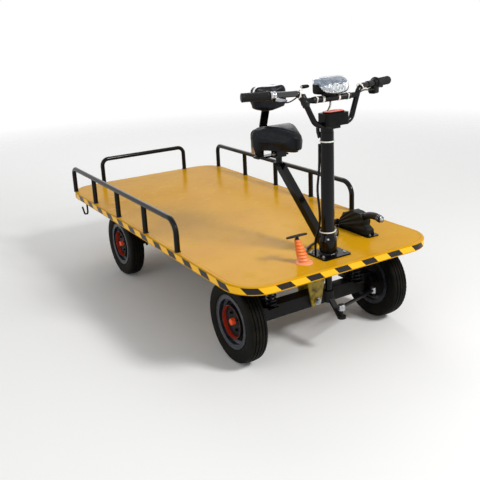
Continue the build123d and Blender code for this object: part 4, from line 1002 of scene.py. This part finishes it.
def slab(sizes, corner, edge):
    """Flat block with round corners in plan and softened rims."""
    part = block(sizes)
    upright = [e for e in part.edges if abs(e.verts[0].co.z - e.verts[1].co.z) > sizes[2] / 2]
    soften(part, upright, corner, 8)
    part.normal_update()
    soften(part, [e for e in part.edges if abs(e.link_faces[0].normal.z - e.link_faces[1].normal.z) > 0.5], edge, 3)
    return part


def pedal():
    """Oval rubber pad tilted towards the driver, ribbed across, on its steel post."""
    bm = bmesh.new()
    tilt = at((867, -160, 532)) @ turn(-19, "Y")
    join(bm, slab((44, 92, 8), 20, 2.4), tilt)
    for rib in range(-3, 4):
        reach = 36 - 1.3 * rib ** 2
        brick(bm, (reach, 4, 2.2), 0.8, tilt @ at((0, rib * 11, 4.2)))
    lathe(bm, ((0, 0), (8.5, 0), (8.5, 5), (6.5, 8), (6, 14), (0, 14)), at((868, -159, 516)), 1, 24)
    piece("brake_pedal_pad", "chassis", bm, ["grip_rubber", "chassis_paint"], 35, ["brake_pedal"])


def pleated_gaiter():
    """Handbrake gaiter whose pleats fan out from its rear foot."""
    pleat, depth, plate_top, fade = radians(7.5), 3.4, 427, 12
    bm = merged_copy("handbrake_gaiter")
    rescale(bm, 1000)
    foot = Vector((560, 288, 418))
    for step in range(2, 60):
        angle = pleat / 5 * step
        cut(bm, foot, (-sin(angle), 0, cos(angle)))
    bm.normal_update()
    for vert in bm.verts:
        if vert.co.z < plate_top:
            continue
        away = vert.co - foot
        wave = 0.5 - 0.5 * cos(atan2(away.z, away.x) / pleat * tau)
        out = Vector((vert.normal.x * 0.4, vert.normal.y, vert.normal.z * 0.4))
        vert.co -= out * depth * wave * ramp(vert.co.z, plate_top, plate_top + fade)
    bmesh.ops.recalc_face_normals(bm, faces=bm.faces)
    piece("handbrake_gaiter_pleated", "chassis", bm, ["gaiter_rubber"], 60, ["handbrake_gaiter"])


def brake_grip():
    """Drooping handbrake grip with finger ribs under it, two bands and the release button at its end."""
    start, end, button_x, ribs, rib_depth = 778, 862, 870, 5, 3
    bm = merged_copy("handbrake_lever")
    rescale(bm, 1000)
    for step in range(34):
        cut(bm, (770 + step * 3, 0, 0), (1, 0, 0))
    for vert in bm.verts:
        if start < vert.co.x < end:
            share = (vert.co.x - 774) / 93
            axis_z = 504 + 36 * share * (1 - share) + 6 * share
            under = max(0, (axis_z - vert.co.z) / 16)
            vert.co.z += rib_depth * under * (0.5 - 0.5 * cos(share * ribs * tau))
    for face in bm.faces:
        face.material_index = 1 if face.calc_center_median().x > button_x else 0
    for place, radius in (((853, 288, 513.2), 15.8), ((861, 288, 511.8), 15.6)):
        join(bm, band(radius, 0.8, 2.4, 40), at(place, (0.99, 0, -0.13)), 1)
    piece("handbrake_grip", "chassis", bm, ["grip_rubber", "zinc_steel"], 50, ["handbrake_lever"])


def cable_ends():
    """Rubber boot where the brake cable leaves the gaiter, and the bright ferrule near its other end."""
    bm = bmesh.new()
    boot = ((0, -4), (13, -4), (15, 2), (14, 12), (10, 24), (8, 34), (0, 34))
    lathe(bm, boot, at((601, 268, 441), (-0.95, 0.05, -0.3)), steps=24)
    lathe(bm, ((6.2, 0), (8.2, 0), (8.2, 20), (7.4, 22), (6.2, 22)), at((788, -59, 426.3), (0.62, -0.78, 0)), 1, 20)
    piece("brake_cable_ends", "chassis", bm, ["grip_rubber", "zinc_steel"])


# Handlebar


def along_bar(distance, side):
    """Point on the bar's outer run at a distance inwards from its end."""
    end, shoulder = Vector(BAR_END), Vector(BAR_SHOULDER)
    place = end + (shoulder - end).normalized() * distance
    return Vector((place.x, side * place.y, place.z))


def bar_axis(side):
    return along_bar(100, side) - along_bar(0, side)


def on_bar(distance, side):
    """Where a shape stands on the bar's outer run, with its Z pointing inwards."""
    return at(along_bar(distance, side), bar_axis(side))


def knurled_grip(length):
    """Rubber grip with rings of small studs, a flange and a domed end, from its end along +Z."""
    profile = [(0, -4), (14, -4), (16.5, -2.6), (17.4, 0), (17.4, 4), (16.2, 5)]
    steps, low, gap = 40, 7, 0.925
    while low + 4.2 < length - 8:
        profile += [(15.6, low), (17.2, low + 0.9), (17.2, low + 2.9), (15.6, low + 3.8)]
        low += 5
    profile += [(16.4, length - 6), (17.5, length - 5), (17.5, length), (11.2, length), (11.2, 0.5), (0, 0.5)]
    part = turned(profile, steps)
    for vert in part.verts:
        radius, angle = polar(vert)
        if 6.5 < vert.co.z < length - 7 and radius > 16.9 and round(angle / tau * steps) % 2:
            swell(vert, gap)
    return part


def bar_grips():
    """Grips of both bar ends; the right one is a little longer."""
    bm = bmesh.new()
    for side, length in ((1, 93), (-1, 100)):
        join(bm, knurled_grip(length), on_bar(0, side))
    piece("bar_grips", "steering", bm, ["grip_rubber"], 30, ["grips"])


def bar_sleeves():
    """Polished enamel on the right half of the bar, and wound tape on the crossbar and at the right joint."""
    bm = bmesh.new()
    start, end = along_bar(101, -1), along_bar(212, -1)
    join(bm, band(11.1, 0.5, (end - start).length), at((start + end) / 2, bar_axis(-1)))
    lap, turns, wrap_lap, wraps = 8, 23, 8, 6
    laps = [(11.1, 0)]
    for count in range(turns):
        laps += [(12, count * lap), (12.9, count * lap + lap - 0.6)]
    lathe(bm, (*laps, (11.1, turns * lap)), at((CROSSBAR_X, -lap * turns / 2, CROSSBAR_Z), (0, 1, 0)), 1)
    foot, shoulder = (Vector((x, -y, z)) for x, y, z in (BAR_FOOT, BAR_SHOULDER))
    up = (shoulder - foot).normalized()
    rough = [(11, 0)]
    for count in range(wraps):
        low = count * wrap_lap
        rough += [(13.6 + (count % 3) * 0.9, low + 1), (14.4 + ((count + 1) % 3) * 0.8, low + 7)]
    part = turned([*rough, (11, 49), (11, 0)], 28)
    for vert in part.verts:
        radius, angle = polar(vert)
        if radius > 12:
            swell(vert, 1 + 0.05 * sin(3 * angle + vert.co.z * 0.35))
    join(bm, part, at(foot + up * 84, up), 1)
    piece("bar_sleeves", "steering", bm, ["polished_black_enamel", "friction_tape"], 30)


def bar_ties():
    """White ties and tape bands round the crossbar, both risers and the right half of the bar."""
    bm = bmesh.new()
    for y, width in ((-76, 3.6), (76, 3.6)):
        cable_tie(bm, (CROSSBAR_X, y, CROSSBAR_Z), (0, 1, 0), 12.9, width, 150, 5)
    for y, width in ((-43, 9.5), (33, 9)):
        join(bm, band(12.6, 0.8, width), at((CROSSBAR_X, y, CROSSBAR_Z), (0, 1, 0)))
    cable_tie(bm, along_bar(221, -1) + Vector((-1, 0, -3)), (0.3, 0.93, -0.25), 15, 4.2, 200, 0)
    cable_tie(bm, along_bar(219, 1) + Vector((1, 0, -2)), (-0.15, 0.75, 0.6), 14, 4.2, 120, 8)
    piece("bar_ties", "steering", bm, ["nylon"])


def left_housing():
    """Thumb-control housing inside the left grip: a thick ring, a switch block under it and a lever stub."""
    bm = bmesh.new()
    lathe(bm, ((11.2, 0), (20, 0), (23, 1.5), (23.6, 6), (22.4, 10), (19, 12), (16, 20), (14.5, 26), (11.2, 26)),
         on_bar(95, 1), 0, 48)
    switches = at(along_bar(111, 1) + Vector((0, 0, -25))) @ aimed(bar_axis(1), "Y", "Z")
    brick(bm, (30, 40, 34), 6, switches, segments=3)
    brick(bm, (5, 14, 8), 1.5, switches @ at((15.5, -4, 2)), 2)
    brick(bm, (6, 10, 20), 1.2, switches @ at((14, 12, 0)), 1)
    foot, tip = along_bar(97, 1) + Vector((4, 0, -17)), along_bar(52, 1) + Vector((6, 0, -17))
    stub = ((0, 0), (5.5, 0), (5, 30), (6.2, 36), (6.6, 42), (4.5, 46), (0, 47))
    lathe(bm, stub, at(foot, tip - foot), 1, 20)
    join(bm, band(11, 2.2, 40), on_bar(146, 1), 1)
    piece("left_control", "steering", bm, ["moulded_abs", "grip_rubber", "zinc_steel"], 35,
          ["bar_controls"])


def right_clamp_parts():
    """Twin-band chrome clamp inside the right grip, the post and grey blade under it."""
    bm = bmesh.new()
    lathe(bm, ((11.2, 0), (15.8, 0), (16, 5.5), (11.2, 5.5)), on_bar(101, -1), 2, 36)
    for start in (109.5, 120.5):
        lathe(bm, ((11.2, 0), (13.2, 0), (14, 1.2), (14, 8.2), (13.2, 9.4), (11.2, 9.4)), on_bar(start, -1), 0, 36)
    brick(bm, (9, 9, 20), 1.5, at(along_bar(119.5, -1) + Vector((2, 0, -15))), 2)
    blade = at((870, -217, 1075)) @ aimed((0, 53, -13), "X", "Z") @ turn(90, "X")
    brick(bm, (52, 12.5, 4.6), 1.4, blade, 1)
    piece("right_clamp", "steering", bm, ["chrome", "zinc_steel", "moulded_abs"], 35, ["bar_controls"])


def bar_pod():
    """Small oval pod with a pale end on a white stalk."""
    bm = bmesh.new()
    shape = ((0, -18), (5, -17.4), (7.6, -14.5), (8.4, -8), (8.5, 6), (7.6, 13), (5.2, 17), (0, 18))
    end = ((3.4, -1), (5.6, -1), (5.8, 0.6), (3.4, 0.8), (3.4, -1))
    oval = (1, 0.82, 1)
    for finish, (profile, steps, y, way) in enumerate(((shape, 32, -108, 1), (end, 28, -125.6, -1))):
        part = turned(profile, steps)
        scaled(part, oval)
        join(bm, part, at((870, y, 1116), (0, way, 0)), finish)
    piece("bar_pod", "steering", bm, ["moulded_abs", "nylon"], 40, ["bar_controls"])
    wire("pod_stalk", "steering", "steel", ((871, -112, 1110), (874, -124, 1104), (884, -136, 1098)), 2.2, "nylon")


def bar_wires():
    """Held wires of the handlebar: two from the crossbar to the switch box, one under each half of the bar, and the
    bundle from the box into the column's collar."""
    rows = (
        ("box_lead_black", ((892, -6, 1053), (897, -8, 1040), (901, -20, 1026), (905, -33, 1012)), 2.4, "cable_jacket"),
        ("box_lead_pale", ((893, -2, 1053), (899, -2, 1042), (903, -14, 1028), (906, -27, 1013)), 1.8, "pale_jacket"),
        ("right_brake_lead", ((858, -243, 1076), (868, -226, 1070), (880, -196, 1064), (886, -170, 1074),
                              (888, -150, 1088)), 2.6, "cable_jacket"),
        ("left_pale_lead", ((886, 150, 1081), (880, 172, 1079), (872, 200, 1079), (862, 226, 1081)), 1.9,
         "pale_jacket"),
        ("left_control_lead", ((872, 236, 1072), (879, 200, 1074), (888, 166, 1078), (893, 140, 1070),
                               (893, 118, 1064)), 2.6, "cable_jacket"),
        ("column_bundle", ((846, -26, 968), (838, -25, 948), (836, -22, 925), (841, -18, 905)), 7.5, "friction_tape"),
    )
    for name, points, radius, finish in rows:
        wire(name, "steering", "black_rubber", points, radius, finish)


# Headlight and switch box


LAMP_BACK, LAMP_LOW = 859.5, 1080
LAMP_SIZE = (78, 141, 66)
# the joint of housing and cover: nearly level along the sides, steep ahead, and low in the middle of the front
LAMP_JOINT = (((862, 0, 1122), (0.1, 0, 1)), ((905, 0, 1118), (1.13, 0, 1)))
LAMP_WINGS = (((932, -61, 1105), (1.2, 0.7, 1)), ((932, 61, 1105), (1.2, -0.7, 1)))
LAMP_MIDDLE = ((0, 0, 0), (0, 1, 0))


def lamp_form(inset):
    """The headlight's body: boxy at its back, rounder above and in front."""
    part = bmesh.new()
    bmesh.ops.create_uvsphere(part, u_segments=96, v_segments=48, radius=1)
    for vert in part.verts:
        x, y, z = vert.co
        front = (x + 1) / 2
        power = 12 * (1 - front) ** 2 + 2.7 * (1 - (1 - front) ** 2)
        if z < 0:
            power = max(power, 3.6)
        vert.co /= (abs(x) ** power + abs(y) ** power + abs(z) ** power) ** (1 / power)
    scaled(part, [size / 2 - inset for size in LAMP_SIZE])
    middle = (LAMP_BACK + LAMP_SIZE[0] / 2, 0, LAMP_LOW + LAMP_SIZE[2] / 2)
    bmesh.ops.translate(part, vec=middle, verts=part.verts)
    for vert in part.verts:
        x, y, z = vert.co
        ahead = max(0, (x - 885) / 50)
        vert.co.z -= 18 * ahead ** 1.5 * max(0, (z - 1092) / 54)
        vert.co.y *= 1 - 0.1 * ahead ** 2
    return part


def in_housing(place):
    wing = LAMP_WINGS[0] if place.y < 0 else LAMP_WINGS[1]
    return all((place - Vector(point)).dot(Vector(normal)) < 0 for point, normal in (*LAMP_JOINT, wing))


def lamp_skin(housing, thickness):
    """The headlight's skin on one side of the joint, as a thin shell."""
    skin = lamp_form(0)
    for point, normal in (*LAMP_JOINT, *LAMP_WINGS, LAMP_MIDDLE):
        cut(skin, point, normal)
    other = [face for face in skin.faces if in_housing(face.calc_center_median()) != housing]
    bmesh.ops.delete(skin, geom=other, context="FACES")
    bmesh.ops.recalc_face_normals(skin, faces=skin.faces)
    bmesh.ops.solidify(skin, geom=skin.faces[:], thickness=thickness)
    return skin


# the seam of the reflector's fluted and faceted parts, as (y, z)
LAMP_SEAM = ((-70, 1112), (-42, 1121), (-20, 1121), (-3, 1126), (21, 1115), (31, 1122), (70, 1122))


def over_seam(place):
    """Height over the reflector's seam."""
    for (y0, z0), (y1, z1) in zip(LAMP_SEAM, LAMP_SEAM[1:]):
        if place.y <= y1:
            return place.z - (z0 + (z1 - z0) * (place.y - y0) / (y1 - y0))
    return place.z - LAMP_SEAM[-1][1]


def reflector():
    """The lamp's inner skin: upright flutes above the seam, and faces sunk to facets below it."""
    front, axis_z, groove, flute, flutes, facet = 885, 1078, 1.6, 0.7, 34, 1.6
    inner = lamp_form(3.4)
    middles = {face: face.calc_center_median() for face in inner.faces}
    lower = [face for face, middle in middles.items() if over_seam(middle) < 0 and middle.x > front]
    chosen = set(lower)
    for face in inner.faces:
        face.material_index = 1 if face in chosen else 0
    seam = [e for e in inner.edges if len(e.link_faces) == 2 and len({f.material_index for f in e.link_faces}) == 2]
    for vert in {v for e in seam for v in e.verts}:
        vert.co -= vert.normal * groove
    for vert in inner.verts:
        if over_seam(vert.co) > 2:
            vert.co += vert.normal * (flute * cos(atan2(vert.co.z - axis_z, vert.co.y) * flutes))
    bmesh.ops.poke(inner, faces=lower, offset=-facet)
    return inner


def headlight():
    """Black housing with its bracket, a fluted and faceted reflector in it, and a clear cover over that."""
    bm = bmesh.new()
    join(bm, lamp_skin(True, 2.6))
    brick(bm, (24, 34, 26), 3, at((893, 0, 1074)))
    brick(bm, (30, 46, 10), 3, at((889, -12, 1080)))
    piece("headlight_housing", "steering", bm, ["moulded_abs"], 40, ["headlight_shell"])

    bm = bmesh.new()
    join(bm, reflector(), finish=None)
    # the fluted upper finish's blue-grey with light and dark streaks is a painted sky reflection
    piece("headlight_reflector", "steering", bm, ["sky_reflector", "facet_reflector_painted_glints"], 16, ["headlight_lens"])

    bm = bmesh.new()
    join(bm, lamp_skin(False, 1.6))
    piece("headlight_cover", "steering", bm, ["lens_cover"], 50, ["headlight_lens"])


def box_cover():
    """Red oval cover on the switch box with a raised rim and a shallow key slot."""
    bm = bmesh.new()
    part = turned([(0, 0), (21.5, 0), (21.5, 2.2), (20.4, 3.6), (18, 4.2), (0, 4.6)], 40)
    scaled(part, (0.92, 1, 1))
    straight, axis_width = 23.5, 0.01
    for vert in part.verts:
        if abs(vert.co.y) > axis_width:
            vert.co.y += straight if vert.co.y > 0 else -straight
    join(bm, part, at((905, 0, 1013.4)))
    brick(bm, (3.4, 30, 1.6), 0.6, at((905, -6, 1018.2)), 1, 1)
    piece("switch_box_cover", "steering", bm, ["cover_plastic", "moulded_abs"], 30)


# Studio


def add_stage():
    """A pale floor that keeps the shadow and fades into a world that is white to the camera and in reflections."""
    bm = bmesh.new()
    bmesh.ops.create_circle(bm, cap_ends=True, segments=96, radius=9)
    floor = new_object("floor", as_mesh(bm, "floor"))
    material, tree = new_material("pale_floor")
    reach = node(tree, "VectorMath", settings={"operation": "LENGTH"}, links={0: own_place(tree)})
    fade = spread(tree, reach.outputs["Value"], 2, 6.5)
    ground = node(tree, "BsdfPrincipled", values={"Roughness": 0.9, SPECULAR: 0.1, "Base Color": linear("#F6F6F5")})
    shader_out(tree, blend(tree, fade, ground, node(tree, "BsdfTransparent")))
    floor.data.materials.append(material)
    scene.world = bpy.data.worlds.new("studio")
    scene.world.use_nodes = True
    tree = scene.world.node_tree
    tree.nodes.clear()
    rays = node(tree, "LightPath").outputs
    seen = maths(tree, "MAXIMUM", rays["Is Camera Ray"], rays["Is Glossy Ray"])
    seen = maths(tree, "MAXIMUM", seen, rays["Is Transmission Ray"])
    white = linear("#FFFFFF")
    lit, shown = (node(tree, "Background", values={"Color": white, "Strength": s}) for s in (0.42, 1))
    node(tree, "OutputWorld", links={"Surface": blend(tree, seen, lit, shown).outputs[0]})


def add_lamp(name, place, target, size, power):
    """Square area lamp, in metres and watts, that faces its target."""
    lamp = bpy.data.lights.new(name, "AREA")
    lamp.size, lamp.energy = size, power
    aim = aimed(Vector(target) - Vector(place), "-Z", "Y")
    new_object(name, lamp).matrix_world = Matrix.Translation(place) @ aim


add_camera()
dress_cad_nodes()
bar_wires()
tape_loop()
guard_welds()
deck_fasteners()
column_trim()
column_ties()
wheels()
front_coils()
saddle_coil_pair()
axle_fasteners()
spring_clamps()
link_nuts()
saddle_pad()
backrest_cushion()
seat_fasteners()
bellows()
pedal()
pleated_gaiter()
brake_grip()
cable_ends()
bar_grips()
bar_sleeves()
bar_ties()
left_housing()
right_clamp_parts()
bar_pod()
headlight()
box_cover()
add_stage()
add_lamp("key", (4.3, 1.7, 3.9), (0.2, 0, 0.4), 1.1, 200)
add_lamp("fill", (1.5, -4.4, 2.4), (0.2, 0, 0.4), 3.5, 45)
add_lamp("back", (-3.5, 1.4, 3.2), (-0.3, 0, 0.5), 3, 55)
